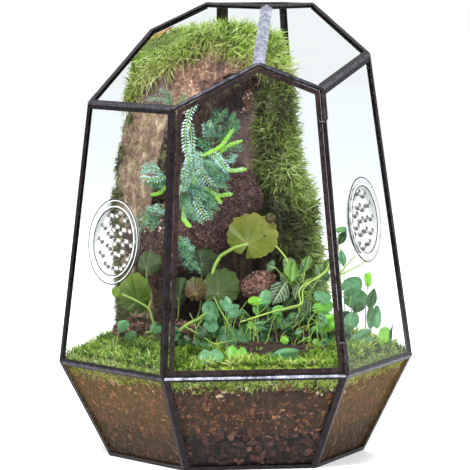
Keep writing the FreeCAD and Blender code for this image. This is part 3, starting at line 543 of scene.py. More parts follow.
# Solder with a painted sheen in lighter grey-blue tones.
SHEEN_SOLDER = solder_material("painted_sheen_solder", (26, 22, 27), (92, 91, 104), 0.28)
HINGE = solder_material("sleeve_metal", (34, 26, 28), (78, 66, 72), 0.26)
NODE_MATERIALS = {
    "wall_pane_left": clear_material("misty_glass", dust(0.045)),
    "wall_pane_right": clear_material("dusty_glass", dust(0.24)),
    "lower_pane_left": LOWER_GLASS, "lower_pane_right": LOWER_GLASS,
    "vent_left": vent_material("clear_plastic_left", "vent_left", LEFT_WALL),
    "vent_right": vent_material("clear_plastic_right", "vent_right", RIGHT_WALL),
    # The ridge's pale solder is a painted reflection of the sky.
    "ridge_seam": solder_material("ridge_solder_painted_reflection", (104, 108, 128), (196, 200, 218)),
    "door_band": solder_material("door_solder", (28, 19, 19), (64, 49, 49)),
}
KIND_MATERIALS = (("_pane", GLASS), ("seam", SOLDER), ("hinge_", HINGE))


def paint(item, material):
    if not item.material_slots:
        item.data.materials.append(material)
    for one in item.material_slots:
        one.material = material


def soften(item, width):
    """Rounds the edges of a drawn bead of solder."""
    edge = item.modifiers.new("bead", "BEVEL")
    edge.width = width
    edge.segments = 2
    edge.limit_method = "ANGLE"
    edge.angle_limit = math.radians(25)
    edge.harden_normals = False


for name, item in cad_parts.items():
    if "seam" in name or name == "door_band":
        soften(item, 0.5 * MM)
    found = [material for word, material in KIND_MATERIALS if word in name]
    if name in NODE_MATERIALS or found:
        paint(item, NODE_MATERIALS.get(name) or found[0])


def vent_rings(node, wall):
    """Thin moulded edges of the ventilation plug, as rings on its outer face: white rings are painted highlights and
    dark rings painted shade.
    """
    axis = pane_plane(wall)[0]
    middle = node_middle(node) / MM
    corners = np.array([v.co[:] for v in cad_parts[node].data.vertices]) / MM - middle
    side = unit(np.cross(axis, (0, 0, 1.0)))
    up = np.cross(side, axis)
    from_axis = np.hypot(corners @ side, corners @ up)
    reach = from_axis.max()
    face = (corners @ axis)[from_axis > reach - 0.6].max()
    pile = Pile()
    steps, sides = 96, 8
    angle = np.arange(steps)[:, None] * math.tau / steps
    ahead = np.cos(angle) * side + np.sin(angle) * up
    # Shade 0 gives a dark ring of painted shade, shade 1 a white ring of painted highlight.
    for inset, wire, shade in ((0.3, 0.44, 0.0), (1.3, 0.42, 1.0), (6.1, 0.50, 1.0), (7.3, 0.40, 0.0)):
        centres = middle + axis * face + ahead * (reach - inset)
        pile.add(ring_points(centres, wire, ahead, axis, sides), ring_quads(sides, steps + 1) % (steps * sides),
                 shades=shade)
    pile.place(node + "_rings", PAINTED_RING_LIGHT, "clear_plastic")


# Painted light for the vent's edges, from dark painted shade to white painted highlight.
PAINTED_RING_LIGHT = chip_material("vent_edge_painted_light", 300, (0.0, (36, 38, 40)), (0.5, (150, 152, 152)), (1.0, (250, 250, 250)))
vent_rings("vent_left", LEFT_WALL)
vent_rings("vent_right", RIGHT_WALL)


def solder_beads(name, radius, material, seed, *chains):
    """Rounded crowns of solder along edges of the case."""
    points, quads, count = [], [], 0
    for chain in chains:
        places = [C[corner] for corner in chain.split()]
        for a, b in zip(places, places[1:]):
            length = np.linalg.norm(b - a)
            steps = max(8, int(length / 3))
            line = a + (b - a) * np.linspace(0, 1, steps)[:, None]
            out = unit(np.mean([normal for normal, offset in PLANES
                                if max(abs(offset - a @ normal), abs(offset - b @ normal)) < 0.9], axis=0))
            swell = 1 + 0.16 * fractal(line, 9, 2, seed)
            points.append(ring_points(line + out * 0.8, radius * swell, np.cross((b - a) / length, out), out, 10))
            quads.append(ring_quads(10, steps) + count)
            count += steps * 10
    add_object(name, build_mesh(name, np.concatenate(points), np.concatenate(quads)), material)


# The front girdle's crown is painted pale as its highlight.
solder_beads("girdle_crown_front", 1.25, HIGHLIGHT_SOLDER, 101, "g0 g1")
# These crowns carry a painted sheen.
solder_beads("girdle_crowns", 1.2, SHEEN_SOLDER, 102, "g1 g2 g3 g4 g5 g0")
solder_beads("roof_crowns", 1.2, SHEEN_SOLDER, 103, "u0 u1 peak u2 u3", "u0 shoulder rim_l rim_f rim_r u3")


# The ground: clay pebbles, bark chips and a moss carpet, each a layer of the hexagonal lower part.
GIRDLE, BASE = 79.7, 1.4
BASE_APOTHEM, GIRDLE_APOTHEM = 91.28, 126.44
PEBBLE_TOP, SOIL_TOP, MOSS_EDGE = 30.4, 65.4, 84.0
PEBBLE_FOOT = 2.9
UP = np.array((0, 0, 1.0))


def wall_reach(angle, z, margin):
    """Distance from the axis to the inside of the wall in this direction and at this height."""
    share = np.clip((z - BASE) / (GIRDLE - BASE), 0, 1)
    apothem = BASE_APOTHEM + (GIRDLE_APOTHEM - BASE_APOTHEM) * share - np.maximum(z - GIRDLE, 0) * 0.122 - margin
    nearest = np.round((angle + math.pi / 2) / (math.pi / 3)) * (math.pi / 3) - math.pi / 2
    return apothem / np.cos(angle - nearest)


def moss_level(x, y):
    """Height of the moss carpet."""
    dome = 84 + 20 * (1 - (x * x + y * y) / 146 ** 2)
    return dome + 2.2 * fractal(np.stack([x, y, np.zeros_like(x)], axis=1), 26, 3, 5)


def layer_body(name, bottom, top, material, rough, node, seed, crowned=False):
    """A closed lump with an uneven skin that fills the case between two heights."""
    around, high, inner = 180, 18, 26
    angles = np.arange(around) * math.tau / around
    rows = [(index / inner, 0.0, False) for index in range(inner)]
    rows += [(1.0, index / high, False) for index in range(high + 1)]
    rows += [(index / inner, 1.0, crowned) for index in range(inner - 1, -1, -1)]
    points = []
    for share, rise, domed in rows:
        z = bottom + (top - bottom) * rise
        ring = polar(wall_reach(angles, z, 2.3) * share, angles, z)
        if domed:
            ring[:, 2] = moss_level(ring[:, 0], ring[:, 1])
        points.append(ring)
    points = np.concatenate(points)
    push = fractal(points, 7, 3, seed) * rough
    points = points - unit(points * (1, 1, 0) + 1e-6) * np.abs(push)[:, None]
    mesh = build_mesh(name, keep_inside(points, LEAF_GAP), ring_quads(around, len(rows)))
    return add_object(name, mesh, material, (node,))


def carpet_ground():
    """Matted moss on top, brown soil where the ground is bare and below an uneven line."""
    t = new_material("moss_ground")
    pick = t.mottling(160)
    moss = t.ramp(pick, (0.36, (28, 34, 10)), (0.50, (86, 106, 28)), (0.62, (172, 190, 68)))
    soil = t.ramp(pick, (0.36, (18, 13, 11)), (0.50, (46, 33, 25)), (0.66, (84, 62, 44)))
    height = t.place().split()[2] + (t.noise(55, 5, 0.7) - 0.5) * 0.05
    share = height.span(0.0705, 0.0745) * (1.0 - t.own("bare"))
    return t.finish(t.surface(t.mix(share, soil, moss), 0.85, t.bump(pick, 0.9, 0.002)))


BARE_LINE = np.array(((90, 328), (108, 330), (130, 338), (160, 343), (180, 346), (200, 350), (230, 353), (245, 358),
                      (290, 359), (305, 354), (330, 350), (352, 344), (372, 330), (420, 320)))


def bare_ground(points):
    """Where the soil in the middle shows, from 0 to 1."""
    px, py = pixels(points)
    line = np.interp(px, *BARE_LINE.T) - 1 + 6 * fractal(points, 9, 3, 19)
    return step(line - py, -1, 2) * (points[:, 1] < 40) * (points[:, 2] > MOSS_EDGE - 1)


layer_body("pebble_fill", PEBBLE_FOOT, PEBBLE_TOP, ground_material(
    "clay_ground", (13, 8, 7), (24, 14, 12), (40, 24, 20), 160), 0.6, "drainage_pebbles", 11)
layer_body("bark_fill", PEBBLE_TOP, SOIL_TOP, ground_material(
    "soil", (26, 17, 12), (52, 34, 22), (80, 54, 36), 130), 0.6, "bark_substrate", 12)
ground = layer_body("moss_ground", SOIL_TOP, MOSS_EDGE, carpet_ground(), 0.8, "moss_bed", 13, True)


def strew(name, material, seed, count, heights, radii, flat, level=1, depth=1.2, rough=0.3, edge=None):
    """Loose lumps against the inside of the lower panes, between two heights."""
    rng = np.random.default_rng(seed)
    count = int(count * (0.5 + FINE / 2))
    template, faces = ball(level)
    angle = rng.uniform(0, math.tau, count)
    z = rng.uniform(*heights, count)
    if edge:
        z = np.minimum(z, edge + 7 * fractal(polar(90.0, angle, 0.0), 24, 3, 6))
    size = rng.uniform(*radii, count)
    shape = rng.uniform(*flat, (count, 3)) * size[:, None]
    turns = turned(rng, count)
    centres = polar(wall_reach(angle, z, 1.9 + size * 0.62 + rng.uniform(0, 1, count) * depth), angle, z)
    pile = Pile()
    for index in range(count):
        lump = template * (1 + rough * value_noise(template * 1.7 + index * 3.1, seed)[:, None])
        pile.add((lump * shape[index]) @ turns[index].T + centres[index], triangles=faces, shades=rng.uniform())
    mesh = pile.mesh(name)
    set_points(mesh, keep_inside(mesh_points(mesh), 1.75))
    add_object(name, mesh, material)


CHIPS = chip_material("bark_chips", 500, (0.0, (36, 21, 11)), (0.3, (68, 39, 20)), (0.6, (98, 57, 30)),
                      (0.9, (126, 78, 42)), (1.0, (162, 120, 82)))
strew("pebbles", chip_material(
    "pebbles", 600, (0.0, (26, 12, 9)), (0.35, (47, 24, 18)), (0.7, (70, 37, 28)), (0.95, (100, 60, 46)),
    (1.0, (134, 96, 80))), 21, 1900, (4, 34), (2.6, 4.8), (0.55, 1.15), 2, 2.6, 0.42)
strew("bark_chips_low", CHIPS, 22, 2600, (30, 50), (1.2, 2.8), (0.4, 1.3))
strew("bark_chips_high", CHIPS, 23, 2400, (46, 70), (1.4, 3.6), (0.3, 1.3))
strew("bark_chips_edge", CHIPS, 25, 520, (64, 77), (1.2, 3.0), (0.3, 1.3), 1, 0.5, 0.3, 70)
strew("pale_chips", chip_material(
    "pale_chips", 500, (0.0, (120, 84, 56)), (0.6, (190, 150, 112)), (1.0, (226, 206, 176))),
      24, 75, (63, 73), (1.4, 3.2), (0.3, 1.3), 1, 0.2, 0.3, 71)


# Hollow cork bark, leaning on the back of the case. Rows of a column: rise, middle and half width, both as x and y.
BARK_HEIGHT = 262.0
R = 146.0
BARK_ROWS = np.array((
    (-0.06, -0.09, 0.25, 0.59, 0.40), (0.00, -0.09, 0.26, 0.59, 0.40), (0.30, -0.09, 0.31, 0.57, 0.36),
    (0.46, -0.11, 0.33, 0.55, 0.33), (0.61, -0.12, 0.36, 0.50, 0.29), (0.80, -0.10, 0.41, 0.445, 0.235),
    (0.935, -0.095, 0.465, 0.395, 0.18), (1.00, -0.055, 0.49, 0.34, 0.14)))
RECESS_ROWS = np.array((
    (-0.10, -0.10, 0.02, 0.38, 0.36), (0.40, -0.12, 0.08, 0.37, 0.33), (0.56, -0.10, 0.15, 0.34, 0.29),
    (0.74, -0.07, 0.24, 0.29, 0.23), (0.83, 0.04, 0.30, 0.21, 0.17), (0.90, 0.09, 0.36, 0.12, 0.12)))


def column_at(rows, rise):
    return [np.interp(rise, rows[:, 0], rows[:, k]) for k in (1, 2, 3, 4)]


def column_depth(rows, points):
    """How far points lie inside a column, as a share: 1 on its axis, 0 on its skin, less than 0 outside."""
    cx, cy, hx, hy = column_at(rows, (points[:, 2] - GIRDLE) / BARK_HEIGHT)
    return 1 - np.hypot((points[:, 0] / R - cx) / hx, (points[:, 1] / R - cy) / hy)


def column_mesh(name, rows, around=96, high=80):
    """A closed, rippled column."""
    rise = np.repeat(np.linspace(rows[0, 0], rows[-1, 0], high + 1), around)
    angle = np.tile(np.arange(around) * math.tau / around, high + 1)
    cx, cy, hx, hy = column_at(rows, rise)
    ripple = 1 + 0.035 * np.cos(5 * angle + 4 * rise)
    grid = np.stack([(cx + hx * ripple * np.cos(angle)) * R, (cy + hy * ripple * np.sin(angle)) * R,
                     GIRDLE + rise * BARK_HEIGHT], axis=-1)
    points = np.concatenate([grid, [grid[:around].mean(0), grid[-around:].mean(0)]])
    ring = np.arange(around)
    after = (ring + 1) % around
    caps = np.concatenate([
        np.stack([after, ring, np.full(around, len(grid))], axis=1),
        np.stack([ring + high * around, after + high * around, np.full(around, len(grid) + 1)], axis=1)])
    return build_mesh(name, points, ring_quads(around, high + 1), caps)


def apply_modifiers(item):
    graph = bpy.context.evaluated_depsgraph_get()
    mesh = bpy.data.meshes.new_from_object(item.evaluated_get(graph), depsgraph=graph)
    item.modifiers.clear()
    old = item.data
    item.data = mesh
    bpy.data.meshes.remove(old)


def carve_bark():
    outer = bpy.data.objects.new("hollow_bark", column_mesh("hollow_bark", BARK_ROWS))
    inner = bpy.data.objects.new("recess", column_mesh("recess", RECESS_ROWS))
    for item in (outer, inner):
        bpy.context.scene.collection.objects.link(item)
    cut = outer.modifiers.new("cut", "BOOLEAN")
    cut.operation = "DIFFERENCE"
    cut.solver = "EXACT"
    cut.object = inner
    mesher = outer.modifiers.new("mesher", "REMESH")
    mesher.mode = "VOXEL"
    mesher.voxel_size = 0.0016
    apply_modifiers(outer)
    bpy.data.objects.remove(inner)
    mesh = outer.data
    points, normals = mesh_points(mesh), mesh_normals(mesh)
    # The recess: its bark is smoothed and its colour darkened as painted shade.
    hollow = step(column_depth(RECESS_ROWS, points), -0.06, -0.005) * step(column_depth(BARK_ROWS, points), 0.0, 0.05)
    warp = points + 9 * np.stack([fractal(points, 30, 2, 35), fractal(points, 30, 2, 36), points[:, 0] * 0], axis=1)
    ridges = 1 - np.abs(fractal(warp, 13, 3, 31, (1, 1, 3.4)))
    lumps = fractal(points, 34, 3, 32)
    crumbs = fractal(points, 4.5, 3, 33)
    px, py = pixels(points)
    brow = step(105 - py + 4 * crumbs, 0, 8) * step(px, 150, 168) * (1 - hollow) * step(-points[:, 1], -66, -52)
    rough = 1 - 0.65 * hollow
    # Painted shade under the left edge of the moss cap, darkened like the recess.
    painted_cap_shade = step(px, 134, 146) * step(178 - px, 0, 14) * step(py, 70, 80) * step(111 - py, 0, 6) * (points[:, 1] < 60)
    hollow = np.maximum(hollow, 0.85 * painted_cap_shade)
    # On the ledge the painted shade gives way to the brow's orange.
    ledge = step(px, 218, 230) * step(268 - px, 0, 6) * step(80 - py + 3 * crumbs, 0, 4) * (points[:, 1] < 66)
    hollow, brow = hollow * (1 - ledge), np.maximum(brow, ledge)
    push = rough * (2.6 * (ridges - 0.8) + 0.9 * crumbs) + 2.4 * lumps
    push += brow * (4.5 * np.abs(fractal(points, 12, 4, 37, (1.6, 1, 0.7))) + 1.0)
    set_points(mesh, keep_inside(points + normals * push[:, None], BARK_GAP))
    set_value(mesh, "hollow", hollow)
    set_value(mesh, "brow", brow)
    mesh.polygons.foreach_set("use_smooth", np.ones(len(mesh.polygons), bool))
    return outer


def bark_material():
    """Cork bark: tan fibres on the left, orange under the moss cap, and dark and smooth in the hollow; the dark colour
    is painted shade, in the hollow and under the cap's left edge.
    """
    t = new_material("rough_bark")
    furrows = t.noise(75, 7, 0.7, (1, 1, 0.4))
    pick = furrows * 0.55 + t.noise(420, 5, 0.7) * 0.45
    fibres = pick * 0.5 + t.noise(190, 6, 0.75, (1, 1, 0.22)) * 0.5
    tan = t.ramp(fibres, (0.36, (66, 48, 44)), (0.46, (106, 82, 72)), (0.53, (146, 120, 100)), (0.62, (208, 194, 160)))
    green = t.ramp(fibres, (0.36, (66, 68, 54)), (0.50, (110, 116, 88)), (0.62, (158, 160, 122)))
    # Painted shade: the dark colour for the recess and under the cap's left edge.
    dark = t.ramp(pick, (0.36, (44, 32, 34)), (0.52, (88, 70, 70)), (0.68, (128, 106, 100)))
    warm = t.ramp(pick, (0.36, (54, 40, 38)), (0.44, (98, 76, 68)), (0.52, (152, 112, 90)), (0.62, (240, 216, 196)))
    left = (t.place().split()[0] + furrows * 0.02).span(-0.078, -0.094)
    colour = t.mix(t.own("brow"), t.mix(left, tan, green), warm)
    colour = t.mix(t.own("hollow"), colour, dark)
    return t.finish(t.surface(colour, 0.8, t.bump(pick + t.cells(260) * 0.3, 0.9, 0.003)))


bark = carve_bark()
bark.data.materials.append(bark_material())
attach(bark, "case")
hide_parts("cork_bark")

# Where moss covers the bark. The lines are columns and rows of the camera's frame.
CAP_LINE = np.array(((100, 108), (134, 106), (142, 84), (160, 77), (174, 68), (182, 60), (196, 57), (208, 54),
                     (220, 51), (232, 57), (245, 63), (256, 66), (264, 72), (290, 84), (350, 96)))
FLANK_LINE = np.array(((40, 266), (75, 270), (100, 266), (120, 262), (140, 255), (160, 248), (178, 243), (192, 248),
                       (204, 258), (222, 271), (240, 276), (262, 278), (300, 285), (345, 291)))
bark_points, bark_normals = mesh_points(bark.data), mesh_normals(bark.data)
bark_px, bark_py = pixels(bark_points)
bark_noise = fractal(bark_points, 12, 3, 38)
cap_line = np.interp(bark_px, *CAP_LINE.T) + 3.5 * bark_noise
flank_line = np.interp(bark_py, *FLANK_LINE.T) + 3.5 * bark_noise
bark_front = bark_points[:, 1] < 66
above_ground = bark_points[:, 2] > 84
bark_hollow = column_depth(RECESS_ROWS, bark_points) > -0.09
in_cap = np.where(bark_front, bark_py < cap_line, bark_points[:, 2] > 258)
in_cap &= ~(bark_hollow & (bark_px < 276) & (bark_py > 67))
in_flank = np.where(bark_front, bark_px > flank_line, bark_points[:, 0] > -10) & ~in_cap
in_flank &= above_ground & ~(bark_hollow & (bark_px < 262))
in_cap &= ~((bark_px < 167) & (bark_py < 43 - 0.5 * (bark_px - 150)) & bark_front)

# The log in the recess: places as shares of the case, and radii.
LOG_ROWS = np.array(((-0.58, -0.03, 0.43, 0.15), (-0.42, -0.03, 0.47, 0.175), (-0.24, -0.01, 0.51, 0.19),
                     (-0.08, 0.01, 0.57, 0.185), (0.09, 0.03, 0.625, 0.17)))
RISE = 369


def make_log():
    around, high = 150, 190
    rows = LOG_ROWS * (R, R, RISE, R) + (0, 0, BASE, 0)
    t = np.linspace(0, len(rows) - 1, high + 1)
    centre = np.stack([np.interp(t, np.arange(len(rows)), rows[:, k]) for k in range(4)], axis=1)
    centre, radius = centre[:, :3], centre[:, 3]
    fade = np.clip(np.minimum(t, t[-1] - t) / 0.35, 0, 1)
    radius = radius * np.sqrt(np.clip(1 - (1 - fade) ** 2, 0.02, 1))
    along = unit(rows[-1, :3] - rows[0, :3])
    across = unit(np.cross((0, 1, 0.0), along))
    points = ring_points(centre, radius, across, np.cross(along, across), around)
    out = unit(points - np.repeat(centre, around, axis=0))
    rough = 3.5 * fractal(points, 24, 3, 41) + 2.2 * np.abs(fractal(points, 7, 3, 42)) + 1.1 * fractal(points, 3, 2, 43)
    mesh = build_mesh("fallen_bark", keep_inside(points + out * rough[:, None], BARK_GAP), ring_quads(around, high + 1))
    return add_object("fallen_bark", mesh, crumb_material(
        "red_bark", 640, (0.25, (32, 23, 26)), (0.45, (60, 42, 44)), (0.62, (88, 63, 62)), (0.85, (136, 104, 98))),
        ("bark_log",))


log_item = make_log()
log_points, log_normals = mesh_points(log_item.data), mesh_normals(log_item.data)

# Crumbly lumps of soil on the moss, and crumbs on the bark and the log.
RED_SOIL = crumb_material("red_soil", 800, (0.25, (60, 38, 34)), (0.45, (112, 76, 66)), (0.62, (150, 108, 92)),
                          (0.85, (196, 158, 140)))
DARK_SOIL = crumb_material("dark_soil", 800, (0.25, (30, 22, 22)), (0.45, (60, 42, 38)), (0.65, (98, 68, 58)),
                           (0.85, (156, 120, 104)))
SHADE_SOIL = crumb_material("shade_soil", 800, (0.25, (20, 16, 16)), (0.45, (40, 30, 30)), (0.65, (68, 52, 48)),
                            (0.85, (104, 82, 74)))
ORANGE_BARK = crumb_material("orange_bark", 300, (0.25, (150, 84, 48)), (0.5, (206, 122, 70)), (0.85, (232, 164, 112)))
CRUMBS = chip_material("crumbs", 900, (0.0, (48, 32, 32)), (0.45, (98, 66, 60)), (0.8, (150, 108, 92)),
                       (0.93, (206, 168, 146)), (1.0, (240, 222, 206)))


def crumble(name, points, normals, count, sizes, seed, low=0.0, high=1.0):
    """Small angular crumbs that sit on a surface."""
    rng = np.random.default_rng(seed)
    template, faces = ball(1)
    pile = Pile()
    chosen = rng.choice(len(points), size=int(count * FINE))
    size = rng.uniform(*sizes, len(chosen))
    turns = turned(rng, len(chosen))
    for index, spot in enumerate(chosen):
        shape = template * rng.uniform(0.45, 1.2, 3) * size[index] * rng.uniform(0.8, 1.2, (len(template), 1))
        pile.add(shape @ turns[index].T + points[spot] + normals[spot] * size[index] * 0.3 + rng.normal(size=3) * 0.5,
                 triangles=faces, shades=rng.uniform(low, high))
    mesh = pile.mesh(name, False)
    set_points(mesh, keep_inside(mesh_points(mesh), LEAF_GAP))
    add_object(name, mesh, CRUMBS)


def crumble_where(name, mask, *rest):
    crumble(name, bark_points[mask], bark_normals[mask], *rest)


def soil_lump(name, spot, size, deep, material, seed, angle=0, crumbs=250):
    """A rough lump about spot = (px, py, depth) that fills size = (width, height) in pixels."""
    template, faces = ball(5)
    turn = math.radians(angle)
    first = math.cos(turn) * RIGHT + math.sin(turn) * UPWARD
    second = math.cos(turn) * UPWARD - math.sin(turn) * RIGHT
    half = np.array((size[0] * PX / 2, size[1] * PX / 2, deep))
    rough, grain = min(size) * PX * 0.16, min(size) * PX * 0.5
    points = seen(*spot) + (template * half) @ np.stack([first, second, BACK])
    push = rough * fractal(points, grain, 3, seed) + 0.9 * fractal(points, 3, 2, seed + 5)
    points = points + template * push[:, None]
    mesh = build_mesh(name, keep_inside(points, 2.0), None, faces)
    if crumbs:
        front = template @ np.array((0, 0.4, 1.0)) > 0
        crumble(name + "_crumbs", points[front], unit(template[front] @ np.stack([first, second, BACK])), crumbs,
                (0.6, 1.5), seed + 7, 0.0, 0.84)
    add_object(name, mesh, material)


soil_lump("soil_lump_red", (259, 287, -36), (34, 29), 9, RED_SOIL, 90, 25, 300)
soil_lump("soil_lump_left", (133, 328, -26), (38, 17), 12, DARK_SOIL, 91, 10, 420)
soil_lump("soil_lump_middle", (186, 335, -52), (40, 24), 11, DARK_SOIL, 92, -20, 420)
soil_lump("soil_mound_middle", (240, 340, -44), (110, 38), 16, SHADE_SOIL, 93, 0, 500)
soil_lump("soil_mound_right", (300, 342, -40), (64, 32), 14, SHADE_SOIL, 94, 0, 300)
soil_lump("bark_sliver", (157, 33, 86), (36, 11), 3, ORANGE_BARK, 95, 37, 0)
log_front = log_normals[:, 1] < 0.3
crumble("log_crumbs", log_points[log_front], log_normals[log_front], 2600, (0.5, 1.3), 96, 0.0, 0.8)
log_px, log_py = pixels(log_points)
pale_end = log_front & (log_px < 170) & (log_py < 232)
crumble("pale_crumbs", log_points[pale_end], log_normals[pale_end], 320, (0.5, 1.4), 99, 0.7, 1.0)


def bark_window(left, right, top, bottom):
    return bark_front & ~in_cap & (bark_px > left) & (bark_px < right) & (bark_py > top) & (bark_py < bottom)


# Crumbs on the hollow's dark wall; the palest of them are painted sparkles of light.
crumble_where("hollow_crumbs_and_sparkles", bark_window(218, 254, 78, 112) & (bark_normals[:, 1] < 0.2), 480, (0.6, 1.7), 97)
crumble_where("brow_crumbs", bark_window(160, 262, 50, 100) & (bark_normals[:, 1] < 0.3), 110, (0.5, 1.3), 98, 0.5, 1.0)


# Moss: a skin grown on the bark where moss covers it, and bent blades that stand on it.

def moss_skin(name, keep, growth, material, node):
    """Copies the bark's faces that moss covers and grows them outwards."""
    loops = np.empty(len(bark.data.loops), np.int32)
    bark.data.loops.foreach_get("vertex_index", loops)
    quads = loops.reshape(-1, 4)
    quads = quads[keep[quads].all(axis=1)]
    used = np.unique(quads)
    index = np.full(len(keep), -1)
    index[used] = np.arange(len(used))
    growth = growth * (0.7 + 0.5 * fractal(bark_points[used], 15, 3, 61))
    points = bark_points[used] + bark_normals[used] * growth[:, None]
    add_object(name, build_mesh(name, keep_inside(points, 2.4), index[quads]), material, (node,))


def blades(name, roots, normals, length, width, material, seed, droop=0.35, spread=0.55, margin=1.7, tone=0.0,
           curl=0.5):
    """Thin bent blades that stand on roots: three joints and a tip."""
    rng = np.random.default_rng(seed)
    count = len(roots)
    normals = unit(normals)
    lean = rng.normal(size=(count, 3)) * spread
    heading = unit(normals + lean)
    side = unit(np.cross(heading, rng.normal(size=(count, 3))))
    swirl = rng.normal(size=(count, 3)) * curl
    length = length * rng.uniform(0.5, 1.35, count)
    half = side * (width * rng.uniform(0.65, 1.2, count) / 2)[:, None]
    sag = np.array((0, 0, -droop)) * rng.uniform(0.3, 1.3, (count, 1))
    spot = roots
    rows = [spot - half, spot + half]
    for part, share in ((0.36, 0.85), (0.34, 0.6)):
        spot = spot + heading * (length * part)[:, None]
        rows += [spot + half * share, spot - half * share]
        heading = unit(heading + sag + swirl * 0.6)
    rows.append(spot + heading * (length * 0.3)[:, None])
    points = np.stack(rows, axis=1)
    good = np.min(depth_inside(points.reshape(-1, 3)).reshape(count, 7), axis=1) > margin - 7
    points = keep_inside(points.reshape(-1, 3), margin).reshape(count, 7, 3)[good]
    count = len(points)
    base = np.arange(count)[:, None] * 7
    quads = np.concatenate([base + np.array((0, 1, 2, 3)), base + np.array((3, 2, 4, 5))])
    uvs = np.tile(np.array(((0, 0), (1, 0), (1, 0.36), (0, 0.36), (1, 0.7), (0, 0.7), (0.5, 1))), (count, 1))
    tone = tone if np.isscalar(tone) else tone[good]
    shades = np.repeat(np.clip(rng.uniform(0, 1, count) + tone, 0, 1.3), 7)
    mesh = build_mesh(name, points.reshape(-1, 3), quads, base + np.array((5, 4, 6)), uvs, True, shades)
    add_object(name, mesh, material)


def pick_roots(mask, count, seed):
    """Spots on the bark, its normals there, and the numbers of its points."""
    rng = np.random.default_rng(seed)
    spots = np.flatnonzero(mask)
    chosen = rng.choice(spots, size=min(int(count * FINE), len(spots) * 3))
    return bark_points[chosen] + rng.normal(size=(len(chosen), 3)) * 0.8, bark_normals[chosen], chosen


CARPET = moss_material("carpet_moss", (14, 24, 6), (84, 130, 26), (162, 212, 54), (240, 252, 150))
CAP = moss_material("cap_moss", (58, 74, 32), (146, 186, 64), (212, 240, 114), (252, 254, 200))
FLANK = moss_material("flank_moss", (52, 50, 40), (116, 116, 80), (140, 170, 66), (212, 230, 150))
DARK_MOSS = moss_material("dark_moss", (46, 48, 30), (92, 104, 54), (134, 146, 80), (184, 190, 124))
STRINGS = moss_material("pale_strands", (110, 104, 58), (170, 172, 92), (206, 208, 128), (238, 234, 180))

# The carpet, with bare soil in the middle.
ground_points = mesh_points(ground.data)
set_value(ground.data, "bare", bare_ground(ground_points))
rng = np.random.default_rng(51)
count = int(27000 * FINE)
angle = rng.uniform(0, math.tau, count)
roots = polar(wall_reach(angle, MOSS_EDGE, 2.5) * np.sqrt(rng.uniform(0, 1, count)), angle, 0.0)
roots[:, 2] = moss_level(roots[:, 0], roots[:, 1]) - 1.0
roots = roots[(column_depth(BARK_ROWS, roots) <= 0.12) & (bare_ground(roots) < 0.5)]
tufts = fractal(roots, 9, 3, 14)
blades("moss_carpet", roots, UP, 7.4 + 3.2 * tufts, 1.35, CARPET, 52, 0.1, 0.75, 1.7, 0.7 * tufts - 0.1, 0.8)

dark_spots = (bare_ground(ground_points) > 0.6) & (ground_points[:, 2] > 86)
spread_points = np.repeat(ground_points[dark_spots], 8, axis=0)
spread_points = spread_points + np.random.default_rng(55).normal(size=spread_points.shape) * (2.5, 2.5, 0.2)
crumble("ground_crumbs", spread_points, np.broadcast_to(UP, spread_points.shape), 2200, (0.6, 1.6), 56, 0.0, 0.42)

# Moss pressed against the lower panes, and moss below the girdle.
rng = np.random.default_rng(57)
count = int(9000 * FINE)
angle = rng.uniform(0, math.tau, count)
z = rng.uniform(66, 84, count)
keep = z > 73 + 8 * fractal(polar(90.0, angle, 0.0), 22, 3, 58)
angle, z = angle[keep], z[keep]
sideways = polar(1.0, angle + math.pi / 2, 0.0) * rng.normal(size=(len(angle), 1)) * 0.7
patches = fractal(np.stack([angle * 90, z, angle * 0], axis=1), 9, 2, 60)
blades("moss_at_glass", polar(wall_reach(angle, z, 2.9), angle, z), sideways + UP * rng.normal(size=(len(angle), 1)),
       6.5, 1.0, CAP, 59, 0.1, 0.25, 1.6, 0.5 * patches + 0.1)

rng = np.random.default_rng(53)
count = int(11000 * FINE)
angle = rng.uniform(0, math.tau, count)
z = np.maximum(rng.uniform(64, 84, count), 69 + 5 * fractal(polar(60.0, angle, 0.0), 20, 3, 8))
blades("moss_rim", polar(wall_reach(angle, z, 3.9), angle, z), polar(1.0, angle, 0.9), 5.0, 1.0, CARPET, 54, 0.2, 0.8,
       1.6, 0.15)

# Moss on the bark.
moss_skin("flank_moss_ground", in_flank, 3.0, ground_material(
    "flank_skin", (52, 50, 36), (80, 82, 52), (112, 118, 72), 150), "moss_flank")
moss_skin("cap_moss_ground", in_cap, 4.0, ground_material(
    "moss_skin", (40, 46, 22), (72, 88, 34), (108, 126, 52), 150), "moss_cap")
spots, normals, chosen = pick_roots(in_flank, 21000, 71)
from_edge = bark_px[chosen] - flank_line[chosen]
outer = step(from_edge, 20, 36) * 0.42 + 0.45 * fractal(spots, 24, 3, 72) - 0.3 * step(-from_edge, -34, -16)
blades("flank_moss_blades", spots + normals * 2, normals - UP * 0.1, 12.5, 1.5, FLANK, 73, 0.4, 0.85, 1.7, outer - 0.1,
       1.1)
spots, normals, _ = pick_roots(in_cap, 16000, 74)
blades("cap_moss_blades", spots + normals * 2.5, normals + UP * 0.5, 14.0, 1.5, CAP, 75, 0.35, 0.65, 1.7,
       0.35 * fractal(spots, 14, 3, 76) - 0.1, 0.9)
spots, normals, _ = pick_roots(in_cap & (bark_py > cap_line - 9) & bark_front, 900, 77)
blades("brow_strands", spots + normals * 3, normals - UP * 0.2, 21.0, 0.9, STRINGS, 78, 0.9, 0.6, 1.7, 0.0, 0.7)
bare_bark = ~in_cap & ~in_flank & bark_front
left_edge = bare_bark & (bark_px < np.minimum(150, 128 + 12 * bark_noise)) & above_ground
spots, normals, _ = pick_roots(left_edge & (fractal(bark_points, 18, 3, 79) > 0.1), 5000, 80)
blades("left_moss_blades", spots, normals, 5.0, 0.8, DARK_MOSS, 81, 0.5, 0.7)
